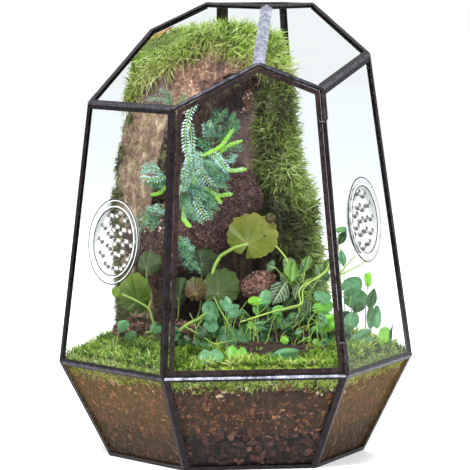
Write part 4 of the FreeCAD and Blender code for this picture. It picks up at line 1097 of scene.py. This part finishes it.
spots, normals, _ = pick_roots(bare_bark & (bark_px < 176) & (bark_py > 92), 1500, 82)
blades("bark_fibres", spots, normals * 0.4 - UP * 0.3, 9.0, 0.55, STRINGS, 83, 0.5, 0.9, 1.7, 0.2, 0.7)


# Leaves. Each is set by where its blade lies in the camera's frame and by its depth in the case.
RINGS = 9


def blade_outline(kind, teeth, segments):
    """The edge of a blade as points across and along, with the stalk at the origin and the tip at (0, 1)."""
    a = np.linspace(-math.pi, math.pi, segments, endpoint=False)
    if kind == "nerve":
        along = 1 - (np.abs(a) / math.pi) ** 1.15
        across = 0.42 * np.sin(math.pi * along ** 0.85) * np.sign(a)
        return np.stack([across * (1 + 0.04 * np.sin(a * 13)), along], axis=1)
    reach = 0.5 * np.cos(a) + np.sqrt(1 - (0.5 * np.sin(a)) ** 2)
    if kind == "heart":
        reach = reach * (1 - 0.30 * np.exp(-(a / 0.26) ** 2)) * (1 - 0.25 * np.exp(-((np.abs(a) - math.pi) / 0.9) ** 2))
    elif kind == "fold":
        reach = reach * (1 - 0.22 * np.exp(-(a / 0.2) ** 2))
    reach = reach * (1 - 0.8 * np.exp(-((np.abs(a) - math.pi) / 0.2) ** 2))
    if teeth:
        tooth = np.abs(a) * teeth / math.tau % 1
        reach = reach * (0.95 + 0.10 * tooth ** 0.7 * (1 - tooth ** 8) + 0.015 * np.sin(a * 7))
    return np.stack([np.sin(a) * reach, np.cos(a) * reach], axis=1) / 1.5


def leaf(pile, kind, spot, size, angle, lean, roll, cup, wave, shade, teeth, ribs, seed):
    """A blade about spot = (px, py, depth) that fills size = (width, length) in pixels. Gives its stalk join."""
    turn, back_lean, side_roll = (math.radians(value) for value in (angle, lean, roll))
    tip = math.cos(turn) * RIGHT + math.sin(turn) * UPWARD
    side = math.sin(turn) * RIGHT - math.cos(turn) * UPWARD
    tip_tilted = math.cos(back_lean) * tip - math.sin(back_lean) * BACK
    face = math.cos(back_lean) * BACK + math.sin(back_lean) * tip
    side_tilted = math.cos(side_roll) * side - math.sin(side_roll) * face
    face = math.cos(side_roll) * face + math.sin(side_roll) * side
    segments = 176 if teeth else 60
    edge = blade_outline(kind, teeth, segments)
    low, high = edge.min(0), edge.max(0)
    box = np.array((size[0] * PX / math.cos(side_roll), size[1] * PX / math.cos(back_lean)))
    t = np.linspace(0, 1, RINGS + 1)[1:]
    flat = np.concatenate([[(0.0, 0.0)], (edge[None] * t[:, None, None]).reshape(-1, 2)])
    reach = np.concatenate([[0.0], np.repeat(t, segments)])
    around = np.arctan2(flat[:, 0], flat[:, 1])
    phase = np.random.default_rng(seed + 1).uniform(0, math.tau, 3)
    height = -cup * reach ** 2 + wave * reach ** 2 * np.sin(4 * around + phase[0]) \
        + 0.6 * wave * reach * np.sin(7 * around + phase[1])
    height -= 0.022 * reach * (1 - np.abs(np.sin(around * ribs / 2))) ** 2
    if kind in ("heart", "fold"):
        height -= 0.16 * np.exp(-(flat[:, 0] / 0.22) ** 2) * (1 if kind == "fold" else 0.5)
    if kind == "nerve":
        height -= 0.10 * np.exp(-(flat[:, 0] / 0.09) ** 2)
        height += 0.02 * np.sin(flat[:, 1] * 42)
    spread = (flat - (low + high) / 2) * (box / (high - low))
    points = seen(*spot) + spread @ np.stack([side_tilted, tip_tilted]) + np.outer(height * box.max(), face)
    ring = np.arange(segments)
    triangles = np.stack([np.zeros(segments, int), 1 + ring, 1 + (ring + 1) % segments], axis=1)
    quads = ring_quads(segments, RINGS)[:, [0, 3, 2, 1]] + 1
    pile.add(keep_inside(points, LEAF_GAP), quads, triangles, flat, shade)
    return points[0]


def smooth_path(points, steps):
    """A curve through points."""
    points = np.asarray(points, float)
    padded = np.concatenate([[2 * points[0] - points[1]], points, [2 * points[-1] - points[-2]]])
    out = []
    for k in range(len(points) - 1):
        p0, p1, p2, p3 = padded[k:k + 4]
        for t in np.linspace(0, 1, steps, endpoint=False):
            out.append(0.5 * (2 * p1 + (p2 - p0) * t + (2 * p0 - 5 * p1 + 4 * p2 - p3) * t ** 2
                              + (3 * p1 - p0 - 3 * p2 + p3) * t ** 3))
    out.append(points[-1])
    return np.array(out)


def seen_path(steps, *spots):
    """A curve through places (px, py, depth)."""
    return smooth_path([seen(*spot) for spot in spots], steps)


def tube(pile, path, thick, thin, shade, sides=7):
    """A stem along a path, with its radius at each end in millimetres."""
    path = keep_inside(path, LEAF_GAP + max(thick, thin))
    ahead = unit(np.gradient(path, axis=0))
    across = unit(np.cross(ahead, (0.31, 0.93, 0.17)))
    count = len(path)
    points = ring_points(path, np.linspace(thick, thin, count), across, np.cross(ahead, across), sides)
    uvs = np.stack([np.tile(np.arange(sides) / sides, count), np.repeat(np.linspace(0, 1, count), sides)], axis=1)
    pile.add(points, ring_quads(sides, count), None, uvs, shade)


def stalk(pile, join, foot, sag, radii, shade):
    """A leaf stalk from the ground or a stem at foot (px, py, depth) up to the blade's join."""
    end = seen(*foot) if isinstance(foot, tuple) else foot
    middle = (join + end) / 2 + (sag, -1.5, 2.0)
    tube(pile, smooth_path([end, middle, join], 8), *radii, shade)


def ground_below(join, shift):
    """A point on the moss under a leaf."""
    x, y = join[0] + shift[0], join[1] + 6 + shift[1]
    return np.array((x, y, moss_level(np.array([x]), np.array([y]))[0] - 1))


def green_leaf(name, gloss, through, stops, veins=None, mottle=None, fade=None):
    """A leaf blade: its tone from the value kept on it, mottling, and fan veins (colour, count, share, width)."""
    t = new_material(name)
    x, y, _ = t.uv().split()
    colour = t.ramp(t.own() + (t.noise(130, 4, 0.62) - 0.5) * 0.55, *stops)
    radius = (x * x + y * y) ** 0.5
    if fade:
        colour = t.mix(radius.span(0.45, 0.95) * 0.7, colour, fade)
    if mottle:
        colour = t.mix(t.noise(330, 2, 0.5) > 0.67, colour, mottle)
    height = t.noise(700, 3, 0.5)
    if veins:
        tint, count, share, width = veins
        fan = abs((x.maths("ARCTAN2", y) * (count / 2)).maths("SINE"))
        line = fan * radius < width
        colour = t.mix(line * share, colour, tint)
        height = height + line * -0.8
    return t.finish(t.thin(colour, through, gloss, t.bump(height, 0.35, 0.0008)))


def nerve_material():
    """Dark green leaf with a net of pale veins."""
    t = new_material("nerve_leaf")
    place = t.uv()
    x, y, _ = place.split()
    blade = t.ramp(t.own(), (0.0, (30, 48, 28)), (0.5, (42, 74, 30)), (1.0, (84, 128, 34)))
    veins = ((y + abs(x) * -0.9) * 40).maths("SINE") > 0.72
    cells = t.add("TexVoronoi", {"Vector": place, "Scale": 12.0}, "Distance", feature="DISTANCE_TO_EDGE")
    share = (veins * 0.75).maths("MAXIMUM", abs(x) < 0.035).maths("MAXIMUM", (cells < 0.05) * 0.55)
    colour = t.mix(share, blade, t.mix(t.own(), (150, 174, 136), (130, 168, 74)))
    return t.finish(t.thin(colour, 0.2, 0.45, t.bump(share, 0.3, 0.0006)))


BIG_LEAF = green_leaf("yellow_begonia", 0.4, 0.35, (
    (0.0, (46, 70, 8)), (0.5, (108, 120, 30)), (1.0, (160, 166, 70))),
    ((166, 172, 88), 11, 0.6, 0.02), (84, 104, 30), (160, 152, 80))
VEINED_LEAF = green_leaf("veined_begonia", 0.5, 0.25, (
    (0.0, (36, 44, 30)), (0.4, (56, 74, 40)), (0.7, (84, 102, 52)), (1.0, (124, 106, 56))),
    ((140, 160, 112), 13, 0.7, 0.026), (82, 92, 46), (68, 92, 38))
AGED_LEAF = green_leaf("aged_begonia", 0.5, 0.25, (
    (0.0, (38, 24, 12)), (0.5, (70, 46, 20)), (1.0, (104, 78, 30))),
    ((160, 156, 80), 11, 0.7, 0.03), (78, 60, 28), (74, 90, 36))
LEFT_LEAF = green_leaf("green_begonia", 0.4, 0.35, (
    (0.0, (40, 66, 6)), (0.5, (88, 118, 18)), (1.0, (136, 166, 48))),
    ((150, 172, 76), 11, 0.6, 0.02), (110, 104, 22), (120, 146, 56))
CREEPER = green_leaf("creeper_leaf", 0.36, 0.36, (
    (0.0, (36, 62, 36)), (0.25, (66, 112, 60)), (0.5, (112, 168, 122)), (0.72, (124, 196, 78)),
    (1.0, (164, 224, 62))), ((178, 214, 168), 7, 0.5, 0.02))
STEM = green_leaf("stem", 0.45, 0.15, ((0.0, (96, 84, 48)), (0.5, (138, 168, 72)), (1.0, (178, 206, 104))))
# Fern tones from dark green through pale blue-white to lime for fresh shoots; the pale blue-white is partly the fern's
# own colour and partly painted highlight.
FERN = green_leaf("fern", 0.38, 0.3, (
    (0.0, (26, 66, 40)), (0.25, (58, 116, 74)), (0.5, (104, 168, 132)), (0.66, (170, 208, 204)),
    (0.78, (232, 244, 248)), (0.85, (120, 186, 60)), (1.0, (160, 226, 54))))
NERVE = nerve_material()

# Large begonia leaf with its bitten, browned corner.
pile, stems = Pile(), Pile()
join = leaf(pile, "begonia", (253.5, 233, -36), (51, 46), 66, 24, -8, 0.10, 0.035, 0.5, 21, 11, 3)
stalk(stems, join, (220.5, 256, -32), 0, (1.5, 1.2), 0.75)
tube(stems, seen_path(6, (220.5, 256, -32), (214, 268, -34), (210, 290, -38), (207, 318, -40)), 1.5, 1.5, 0.6)
pile.place("begonia_large_leaf", BIG_LEAF, "begonia_leaf", "begonia_large")
stems.place("begonia_large_stalk", STEM, "stem")
pile = Pile()
leaf(pile, "begonia", (270.5, 218, -37.5), (10, 11), 40, 10, 0, 0.1, 0.08, 0.25, 9, 7, 4)
leaf(pile, "round", (264.5, 235.5, -39.5), (2.6, 2.6), 90, 10, 0, 0.0, 0.0, 0.0, 0, 3, 5)
pile.place("begonia_brown_marks", AGED_LEAF, "begonia_leaf")

# Dark veined leaves behind and below it: spot, size, angle, lean, roll, tone, teeth.
pile, stems = Pile(), Pile()
for index, (spot, size, angle, lean, roll, tone, teeth) in enumerate((
        ((222.5, 285, -47), (37, 38), 62, 30, 0, 0.55, 19), ((207, 260, -30), (33, 25), 40, 30, 0, 0.16, 15),
        ((180, 291, -36), (20, 30), 80, 20, 25, 0.24, 13), ((150, 262, -30), (22, 26), 60, 10, 0, 0.5, 13))):
    join = leaf(pile, "begonia", spot, size, angle, lean, roll, 0.12, 0.04, tone, teeth, 13, index + 10)
    stalk(stems, join, ground_below(join, (-4, 4)), 2, (1.0, 0.8), 0.2)
pile.place("begonia_dark_leaves", VEINED_LEAF, "dark_leaf", "begonia_dark")
stems.place("begonia_dark_stalks", STEM, "stem")
pile = Pile()
leaf(pile, "begonia", (196, 288, -50), (22, 24), 84, 18, 0, 0.14, 0.05, 0.6, 15, 11, 15)
pile.place("begonia_aged_leaf", AGED_LEAF, "dark_leaf")

# Left begonia leaf and the leaf beside it.
pile, stems = Pile(), Pile()
leaf(pile, "begonia", (137, 292, -40), (31, 41), 96, 12, 24, 0.12, 0.03, 0.16, 17, 11, 20)
tube(stems, seen_path(6, (122, 294, -41.5), (135, 300, -44), (148, 308, -44), (152, 318, -42), (155, 329, -40)),
     0.9, 1.0, 0.7)
tube(stems, seen_path(6, (148, 308, -44), (151, 300, -43)), 0.7, 0.5, 0.7)
leaf(pile, "round", (116.5, 292, -34), (10, 11), 120, 10, 0, 0.1, 0.05, 0.95, 0, 7, 21)
pile.place("begonia_left_leaf", LEFT_LEAF, "begonia_leaf", "begonia_left")
stems.place("begonia_left_stalks", STEM, "stem")

# Round leaved creeper: kind, spot, size, angle, lean, roll, tone.
creeper_middle = (
    ("round", (211, 311, -70), (16, 22), 100, 20, 20, 0.40), ("round", (211, 325, -72), (15, 13), 250, -20, 0, 0.46),
    ("heart", (226, 304, -72), (12, 14), 120, 12, 0, 0.44), ("heart", (234, 311, -73), (14, 13), 20, 10, 0, 0.42),
    ("round", (228, 337, -71), (24, 26), 80, 30, 0, 0.30), ("round", (214, 334, -66), (18, 13), 200, 25, 0, 0.24),
    ("round", (247.5, 336, -68), (15, 27), 92, 20, 30, 0.24), ("round", (254, 301, -60), (14, 9), 175, 35, 0, 0.86),
    ("round", (266, 298, -60), (12, 17), 80, 10, 15, 0.50), ("round", (249, 325.5, -62), (10, 9), 120, 20, 0, 0.82),
    ("fold", (263, 326, -63), (21, 10), 5, 20, 0, 0.46), ("round", (277, 322, -58), (12, 10), 80, 30, 0, 0.30),
    ("round", (284, 340, -70), (9, 7), 150, 30, 0, 0.82), ("round", (203, 347, -80), (17, 8), 175, 35, 0, 0.36),
    ("heart", (210.5, 355.5, -113), (25, 15), 272, -38, 0, 0.50),
    ("heart", (237, 353, -108), (20, 15), 80, 30, 0, 0.72),
    ("fold", (287.5, 356, -113), (27, 15), 5, 25, 0, 0.52), ("round", (176, 334, -66), (9, 16), 90, 10, 40, 0.45),
    ("round", (122, 326, -62), (17, 11), 20, 30, 0, 0.34), ("round", (130, 336, -60), (13, 9), 200, 30, 0, 0.22),
    ("heart", (156, 328, -60), (12, 10), 60, 30, 0, 0.30), ("round", (259, 333, -60), (16, 20), 90, 20, 0, 0.12),
)
creeper_right = (
    ("round", (322.5, 296.5, -60), (18, 12), 60, 30, 0, 0.44), ("round", (325, 307, -61), (22, 12), 10, 40, 0, 0.72),
    ("fold", (325, 324, -62), (25, 17), 200, 30, 0, 0.80), ("round", (319, 331, -60), (12, 9), 250, -20, 0, 0.40),
    ("round", (329, 339, -55), (14, 10), 60, 30, 0, 0.42), ("nerve", (342.5, 237, -24), (9, 17), 62, 10, 0, 0.10),
    ("round", (342, 229.5, -26), (12, 6), 10, 30, 0, 0.5), ("nerve", (343, 257, -28), (8, 18), 100, 10, 20, 0.40),
    ("round", (353, 285.5, -36), (23, 18), 30, 30, 0, 0.42), ("round", (357, 299, -38), (25, 21), 340, 30, 0, 0.30),
    ("nerve", (372, 298, -30), (11, 23), 75, 10, 0, 0.20), ("heart", (374, 316, -28), (15, 24), 268, -20, 0, 0.42),
    ("fold", (368.5, 279.5, -32), (8, 15), 95, 0, 20, 0.86), ("round", (352, 320, -52), (15, 17), 60, 20, 0, 0.38),
    ("heart", (363, 338, -50), (23, 16), 20, 30, 0, 0.44), ("round", (385, 334, -32), (13, 16), 80, 20, 0, 0.84),
    ("nerve", (393, 331, -26), (7, 18), 70, 10, 0, 0.12), ("round", (347, 345, -56), (12, 9), 60, 30, 0, 0.5),
    ("round", (359, 308, -36), (14, 10), 300, 30, 0, 0.26),
)


def undergrowth(count, across, down, depths, seed):
    """Small shaded leaves between the larger ones."""
    rng = np.random.default_rng(seed)
    rows = []
    for _ in range(count):
        size = rng.uniform(6, 13)
        rows.append((("round", "heart", "fold")[rng.integers(3)],
                     (rng.uniform(*across), rng.uniform(*down), rng.uniform(*depths)),
                     (size, size * rng.uniform(0.6, 1.0)), rng.uniform(0, 360), rng.uniform(10, 45), 0,
                     rng.choice((0.0, 0.06, 0.14, 0.26, 0.42, 0.66))))
    return tuple(rows)


creeper_middle += undergrowth(84, (192, 330), (308, 352), (-68, -46), 401)
creeper_middle += undergrowth(22, (168, 214), (330, 352), (-76, -60), 404)
creeper_right += undergrowth(16, (320, 352), (306, 346), (-50, -40), 402)
for label, rows in (("creeper_middle", creeper_middle), ("creeper_right", creeper_right)):
    pile, stems = Pile(), Pile()
    for index, (kind, spot, size, angle, lean, roll, tone) in enumerate(rows):
        if abs(math.cos(math.radians(angle))) > 0.75:
            size = size[::-1]
        join = leaf(pile, kind, spot, size, angle, lean, roll, 0.10, 0.03, tone, 0, 7, 40 + index)
        stalk(stems, join, ground_below(join, ((index * 37 % 11) - 5, 2)), (index % 3) - 1, (0.55, 0.4),
              0.3 + 0.5 * (index % 2))
    pile.place(label + "_leaves", CREEPER, "creeper_leaf", label)
    stems.place(label + "_stalks", STEM, "stem")

# White veined leaves: spot, size, angle, lean, roll, tone.
nerve_rows = (
    ((293, 269, -50), (17, 24), 84, 20, 15, 0.95), ((308, 262, -46), (12, 16), 70, 20, 10, 0.62),
    ((301, 275, -48), (15, 14), 40, 20, 0, 0.40), ((327, 266, -46), (10, 20), 62, 20, 15, 0.60),
    ((318, 270, -45), (10, 15), 110, 20, 0, 0.36), ((280, 292, -52), (21, 25), 240, -20, 0, 0.12),
    ((307, 307, -54), (11, 22), 262, -20, 10, 0.20), ((295, 318, -55), (14, 13), 230, -20, 0, 0.40),
    ((296, 290, -52), (9, 16), 250, -20, 25, 0.18), ((313, 288, -48), (12, 10), 320, 20, 0, 0.14),
    ((270, 266, -38), (14, 10), 160, 20, 0, 0.24), ((287, 262, -44), (12, 12), 140, 20, 0, 0.34),
    ((322, 281, -46), (14, 9), 350, 20, 0, 0.30),
)
rng = np.random.default_rng(403)
for _ in range(20):
    px, py = rng.uniform(284, 334), rng.uniform(262, 322)
    outward = math.degrees(math.atan2(290 - py, px - 304))
    long = rng.uniform(11, 17)
    nerve_rows += (((px, py, rng.uniform(-46, -34)), (long * 0.75, long), outward + rng.uniform(-25, 25),
                    rng.uniform(10, 35), rng.uniform(-20, 20), rng.uniform(0.1, 0.6)),)
pile, stems = Pile(), Pile()
for index, (spot, size, angle, lean, roll, tone) in enumerate(nerve_rows):
    join = leaf(pile, "nerve", spot, size, angle, lean, roll, 0.14, 0.05, tone, 0, 3, 80 + index)
    stalk(stems, join, (299 + (index % 3) * 3, 284 + (index % 4) * 9, -47), 0, (0.7, 0.5), 0.4)
tube(stems, seen_path(8, (300, 345, -46), (303, 318, -46), (298, 290, -46), (300, 276, -46)), 1.3, 0.9, 0.3)
pile.place("nerve_leaves", NERVE, "nerve_leaf", "nerve_plant")
stems.place("nerve_stalks", STEM, "stem")

# Runners and loose stems: path, radius at each end, tone.
stems = Pile()
for path, thick, thin, tone in (
        (((240, 322, -72), (256, 317, -74), (272, 312, -70), (288, 309, -64), (300, 304, -60), (299, 292, -60),
          (305, 284, -60), (316, 279, -60), (326, 272, -56), (335, 262, -50)), 0.75, 0.55, 0.8),
        (((272, 312, -71), (290, 307, -65), (302, 303, -60), (303, 290, -58), (312, 281, -56), (326, 270, -50),
          (331, 258, -46)), 0.65, 0.5, 0.95),
        (((178, 332, -66), (188, 324, -70), (198, 319, -72), (206, 313, -72)), 1.5, 1.1, 0.55),
        (((184, 326, -70), (200, 335, -74), (212, 343, -78), (220, 348, -80)), 0.6, 0.5, 0.7),
        (((214, 297, -66), (221, 311, -70), (230, 326, -72)), 0.7, 0.6, 0.6),
        (((340, 274, -40), (346, 266, -38), (355, 256, -34)), 0.8, 0.6, 0.6),
        (((340, 275, -41), (354, 268, -38), (370, 259, -30)), 0.8, 0.6, 0.75),
        (((276, 246, -40), (283, 254, -42), (288, 262, -44), (290, 270, -46)), 0.7, 0.8, 0.8),
        (((296, 330, -60), (306, 326, -60), (316, 323, -60)), 0.6, 0.5, 0.3),
        (((298, 343, -62), (308, 338, -60), (318, 336, -58)), 0.7, 0.5, 0.7),
        (((262, 350, -72), (268, 338, -70), (270, 330, -68)), 0.5, 0.4, 0.5),
        (((150, 336, -50), (157, 338, -52), (165, 341, -52)), 1.0, 0.8, 0.2),
        (((145, 333, -50), (155, 331, -50), (165, 329, -48)), 1.0, 0.7, 0.35)):
    tube(stems, seen_path(8, *path), thick, thin, tone)
rng = np.random.default_rng(405)
for _ in range(90):
    px, py, depth = rng.uniform(190, 334), rng.uniform(330, 356), rng.uniform(-74, -52)
    lean, rise = rng.normal() * 12, rng.uniform(8, 30)
    path = seen_path(6, (px, py, depth), (px + lean * 0.3, py - rise * 0.5, depth),
                     (px + lean, py - rise, depth + rng.uniform(-4, 4)))
    tube(stems, path, 0.42, 0.26, rng.uniform(0.1, 1.0), 5)
stems.place("runners", STEM, "stem", "runner_stems")


# Ferns: sprays of small scale leaves on branched stems. Tones above BRIGHT are the fresh green shoots.
BRIGHT = 0.82


def scales(pile, path, length, tone, rng, spacing=1.0, plump=1.0):
    """Two rows of small leaves along a stem."""
    steps = np.concatenate([[0], np.cumsum(np.linalg.norm(np.diff(path, axis=0), axis=1))])
    spacing = spacing * 1.6
    count = max(3, int(steps[-1] / spacing))
    at = np.linspace(0.4 * spacing, steps[-1], count)
    spots = np.stack([np.interp(at, steps, path[:, k]) for k in range(3)], axis=1)
    ahead = unit(np.gradient(spots, axis=0))
    face = unit(BACK + np.array((0, 0, 0.5)) + rng.normal(size=3) * 0.15)
    across = unit(np.cross(ahead, face))
    fade = np.sqrt(np.clip((steps[-1] - at) / (4 * spacing) + 0.3, 0.3, 1))
    ceiling, variety, contrast = (1.0, 0.05, 0.4) if tone > BRIGHT else (0.79, 0.07, 1)
    for sign in (-1, 1):
        lean = unit(ahead * 0.75 + sign * across + face * rng.uniform(-0.25, 0.3, (count, 1)))
        size = length * fade * rng.uniform(0.8, 1.2, count)
        half = unit(np.cross(lean, face)) * (size * 0.25 * plump)[:, None]
        middle = spots + lean * (size * 0.5)[:, None] + face * (size * 0.10)[:, None]
        tip = spots + lean * size[:, None]
        points = np.stack([spots, middle + half, tip, middle - half], axis=1).reshape(-1, 3)
        triangles = (np.arange(count)[:, None, None] * 4 + np.array(((0, 1, 2), (0, 2, 3)))).reshape(-1, 3)
        own = tone + rng.normal(size=(count, 1)) * variety
        # Each leaflet is painted darker at its base and lighter at its tip: painted shade and painted highlight.
        shades = np.clip(own + np.array((-0.34, -0.04, 0.24, -0.16)) * contrast, 0, ceiling).ravel()
        uvs = np.tile(np.array(((0, 0), (1, 0.5), (0.5, 1), (0, 0.5))), (count, 1))
        pile.add(keep_inside(points, LEAF_GAP), None, triangles, uvs, shades)


def arch(start, end, face, bend, rise, steps):
    """A bent stem between two places (px, py, depth), with its direction and the direction across it."""
    a, b = seen(*start), seen(*end)
    length = np.linalg.norm(b - a)
    along = (b - a) / length
    across = unit(np.cross(along, face))
    return smooth_path([a, (a + b) / 2 + across * bend * length + face * rise * length, b], steps), along, across


def spray(pile, stems, start, end, width, tone, seed, bend, branches=9, scale=2.5):
    """A branched frond, width in pixels."""
    rng = np.random.default_rng(seed)
    face = unit(BACK + np.array((0, 0, 0.4)))
    path, along, across = arch(start, end, face, bend, 0.08, 12)
    tube(stems, path, 0.5, 0.25, 0.35, 5)
    scales(pile, path[4:], scale, tone, rng)
    for index in range(branches):
        share = 0.14 + 0.80 * index / branches
        spot = path[int(share * (len(path) - 1))]
        sign = 1 if index % 2 else -1
        reach = width * PX / 2 * math.sin(math.pi * (0.22 + 0.72 * share)) ** 0.7 * rng.uniform(0.85, 1.15)
        aim = unit(along * 0.85 + sign * across + face * rng.uniform(-0.1, 0.35))
        drop = np.array((0, 0, -0.12 * reach))
        twig = smooth_path([spot, spot + aim * reach * 0.6, spot + aim * reach * 1.15 + along * reach * 0.25 + drop], 5)
        scales(pile, twig, scale * 0.9, np.clip(tone + rng.normal() * 0.06, 0, 1), rng)
        if reach > 4.5:
            fork = twig[len(twig) // 2]
            for side in (-1, 1):
                aside = unit(aim + side * 0.9 * unit(np.cross(aim, face)))
                scales(pile, smooth_path([fork, fork + aside * reach * 0.28, fork + aside * reach * 0.52], 3),
                       scale * 0.85, tone, rng)


def shoot(pile, stems, start, end, tone, seed, bend):
    """A plump unbranched shoot."""
    rng = np.random.default_rng(seed)
    path, _, _ = arch(start, end, BACK, bend, 0, 8)
    tube(stems, path, 0.6, 0.4, 0.8, 5)
    for _ in range(3):
        scales(pile, path + rng.normal(size=3) * 0.25, 2.2, tone, rng, 0.9, 1.35)


def pinnate(pile, stems, start, end, tone, seed, bend):
    """A slender frond with clear pairs of leaflets."""
    path, _, _ = arch(start, end, BACK, bend, 0, 10)
    tube(stems, path, 0.45, 0.3, 0.9, 5)
    scales(pile, path, 4.6, tone, np.random.default_rng(seed), 1.7, 0.75)


# Kind, root, tip, width for sprays, tone. The kinds: maker, first seed, bend of even and of odd rows.
KINDS = {"spray": (spray, 200, -0.12, 0.12), "shoot": (shoot, 300, -0.10, 0.12), "pinnate": (pinnate, 400, -0.08, 0.1)}
FRONDS = {
    "fern_upper": (
        ("spray", (213, 146, -6), (227, 109, -20), 17, 0.38), ("spray", (214, 144, -6), (239, 120, -22), 15, 0.34),
        ("spray", (213, 142, -6), (209, 121, -20), 13, 0.60), ("spray", (218, 140, -8), (235, 112, -22), 12, 0.30),
        ("spray", (217, 150, -8), (196, 138, -22), 12, 0.36), ("spray", (226, 158, -12), (237, 157, -26), 11, 0.68),
        ("spray", (214, 152, -8), (243, 150, -24), 12, 0.44),
        ("shoot", (202, 156, -20), (233, 130, -26), 0.97), ("shoot", (216, 157, -20), (241, 141, -28), 0.97),
        ("shoot", (215, 164, -20), (246, 169, -30), 0.94),
    ),
    "fern_hanging": (
        ("spray", (199, 154, -12), (217, 192, -34), 18, 0.50), ("spray", (203, 155, -12), (230, 179, -34), 17, 0.42),
        ("spray", (198, 160, -14), (228, 193, -36), 17, 0.46), ("spray", (195, 158, -14), (205, 189, -36), 14, 0.62),
        ("spray", (205, 158, -12), (224, 168, -34), 13, 0.58), ("spray", (190, 158, -14), (196, 184, -38), 11, 0.52),
        ("spray", (190, 186, -18), (212, 220, -40), 17, 0.46), ("spray", (187, 188, -18), (203, 224, -41), 15, 0.52),
        ("spray", (188, 186, -18), (217, 210, -40), 14, 0.40), ("spray", (185, 190, -18), (191, 214, -41), 12, 0.44),
        ("spray", (184, 186, -18), (206, 200, -38), 12, 0.60), ("spray", (180, 236, -30), (201, 273, -44), 15, 0.34),
        ("spray", (178, 238, -30), (189, 262, -44), 12, 0.30), ("spray", (179, 236, -30), (194, 250, -42), 11, 0.48),
        ("spray", (189, 138, -14), (186, 188, -34), 13, 0.74), ("pinnate", (195, 100, -14), (189, 163, -38), 0.78),
        ("pinnate", (190, 122, -14), (183, 178, -36), 0.72), ("pinnate", (198, 150, -14), (212, 186, -40), 0.76),
        ("pinnate", (204, 150, -14), (228, 172, -40), 0.72), ("pinnate", (196, 184, -20), (207, 219, -44), 0.74),
        ("spray", (181, 170, -20), (182, 192, -36), 9, 0.66),
        ("shoot", (204, 189, -26), (232, 194, -38), 0.96), ("shoot", (202, 187, -26), (221, 203, -40), 0.92),
        ("shoot", (184, 209, -28), (190, 227, -42), 0.93), ("shoot", (190, 172, -24), (194, 184, -38), 0.97),
        ("shoot", (182, 186, -28), (178, 197, -38), 0.90),
    ),
    "fern_left": (
        ("pinnate", (166, 176, -18), (141, 178, -34), 0.76), ("spray", (165, 172, -14), (140, 173, -30), 13, 0.66),
        ("spray", (165, 178, -14), (145, 184, -32), 13, 0.34), ("spray", (166, 206, -16), (139, 232, -34), 16, 0.38),
        ("spray", (166, 208, -16), (146, 208, -32), 11, 0.70), ("spray", (167, 214, -16), (150, 232, -34), 12, 0.34),
        ("shoot", (166, 186, -18), (152, 195, -32), 0.95),
    ),
}
for label, rows in FRONDS.items():
    pile, stems = Pile(), Pile()
    for index, (kind, *row) in enumerate(rows):
        maker, first_seed, *bends = KINDS[kind]
        maker(pile, stems, *row, first_seed + index, bends[index % 2])
    pile.place(label + "_fronds", FERN, "fern", label)
    stems.place(label + "_stems", STEM, "stem")

pile, stems = Pile(), Pile()
for index, row in enumerate((
        ((176, 106, 12), (146, 100, 4), 9, 0.66), ((172, 104, 12), (159, 90, 4), 9, 0.62),
        ((178, 104, 12), (186, 93, 4), 8, 0.5), ((158, 170, 2), (150, 163, -4), 6, 0.7),
        ((168, 106, 12), (168, 92, 2), 8, 0.40))):
    spray(pile, stems, *row, 500 + index, 0.1, 8, 1.8)
pile.place("bark_sprigs", FERN, "fern")
stems.place("bark_sprig_stems", STEM, "stem")

# Floor, light and background.
floor = bpy.data.meshes.new("floor")
floor.from_pydata([(-6, -6, 0), (6, -6, 0), (6, 6, 0), (-6, 6, 0)], [], [(0, 1, 2, 3)])
floor_item = bpy.data.objects.new("floor", floor)
bpy.context.scene.collection.objects.link(floor_item)


def floor_material():
    """A matt floor that glows a little for the camera, more with its distance from the case."""
    t = new_material("pale_floor")
    away = t.add("VectorMath", {0: t.place()}, "Value", operation="LENGTH")
    glow = t.add("Emission", {"Color": (1, 1, 1), "Strength": t.light("Camera") * away.span(0.15, 0.7, 0.30, 0.60)})
    return t.finish(t.add("AddShader", {0: t.add("BsdfDiffuse", {"Color": (0.86, 0.86, 0.86)}), 1: glow}))


floor.materials.append(floor_material())


def make_world():
    """A soft grey sky that shows as white to the camera, through glass and in reflections from above."""
    world = bpy.data.worlds.new("studio")
    bpy.context.scene.world = world
    t = Nodes(world)
    soft = t.add("Background", {"Color": (0.93, 0.96, 1.0), "Strength": 0.52})
    white = t.add("Background", {"Color": (1, 1, 1), "Strength": 1.0})
    above = t.light("Glossy") * t.place("Generated").split()[2].span(0.25, 0.8, 0.0, 0.9)
    share = t.light("Camera").maths("MAXIMUM", t.light("Transmission")).maths("MAXIMUM", above)
    t.finish(t.blend(share, soft, white), "World")


make_world()


def lamp(name, place, target, size, power, colour=(1, 1, 1)):
    light = bpy.data.lights.new(name, "AREA")
    light.shape = "DISK"
    light.size = size
    light.energy = power
    light.color = colour
    item = bpy.data.objects.new(name, light)
    bpy.context.scene.collection.objects.link(item)
    item.location = place
    item.rotation_euler = (Vector(target) - Vector(place)).to_track_quat("-Z", "Y").to_euler()
    item.visible_glossy = name in ("key", "front")


lamp("key", (-0.9, -1.2, 1.6), (0, 0, 0.2), 0.6, 44, (1, 0.98, 0.95))
lamp("back", (0.7, 1.3, 1.6), (0, 0, 0.25), 0.9, 26, (0.95, 0.98, 1))
lamp("side", (1.5, -0.6, 0.9), (0, 0, 0.2), 0.8, 14)
lamp("fill", (0.1, -2.0, 0.25), (0, 0, 0.12), 1.0, 12)
lamp("front", (-0.2, -1.1, 1.5), (0, 0, 0.15), 0.3, 9)

bpy.context.scene.view_settings.view_transform = "Standard"
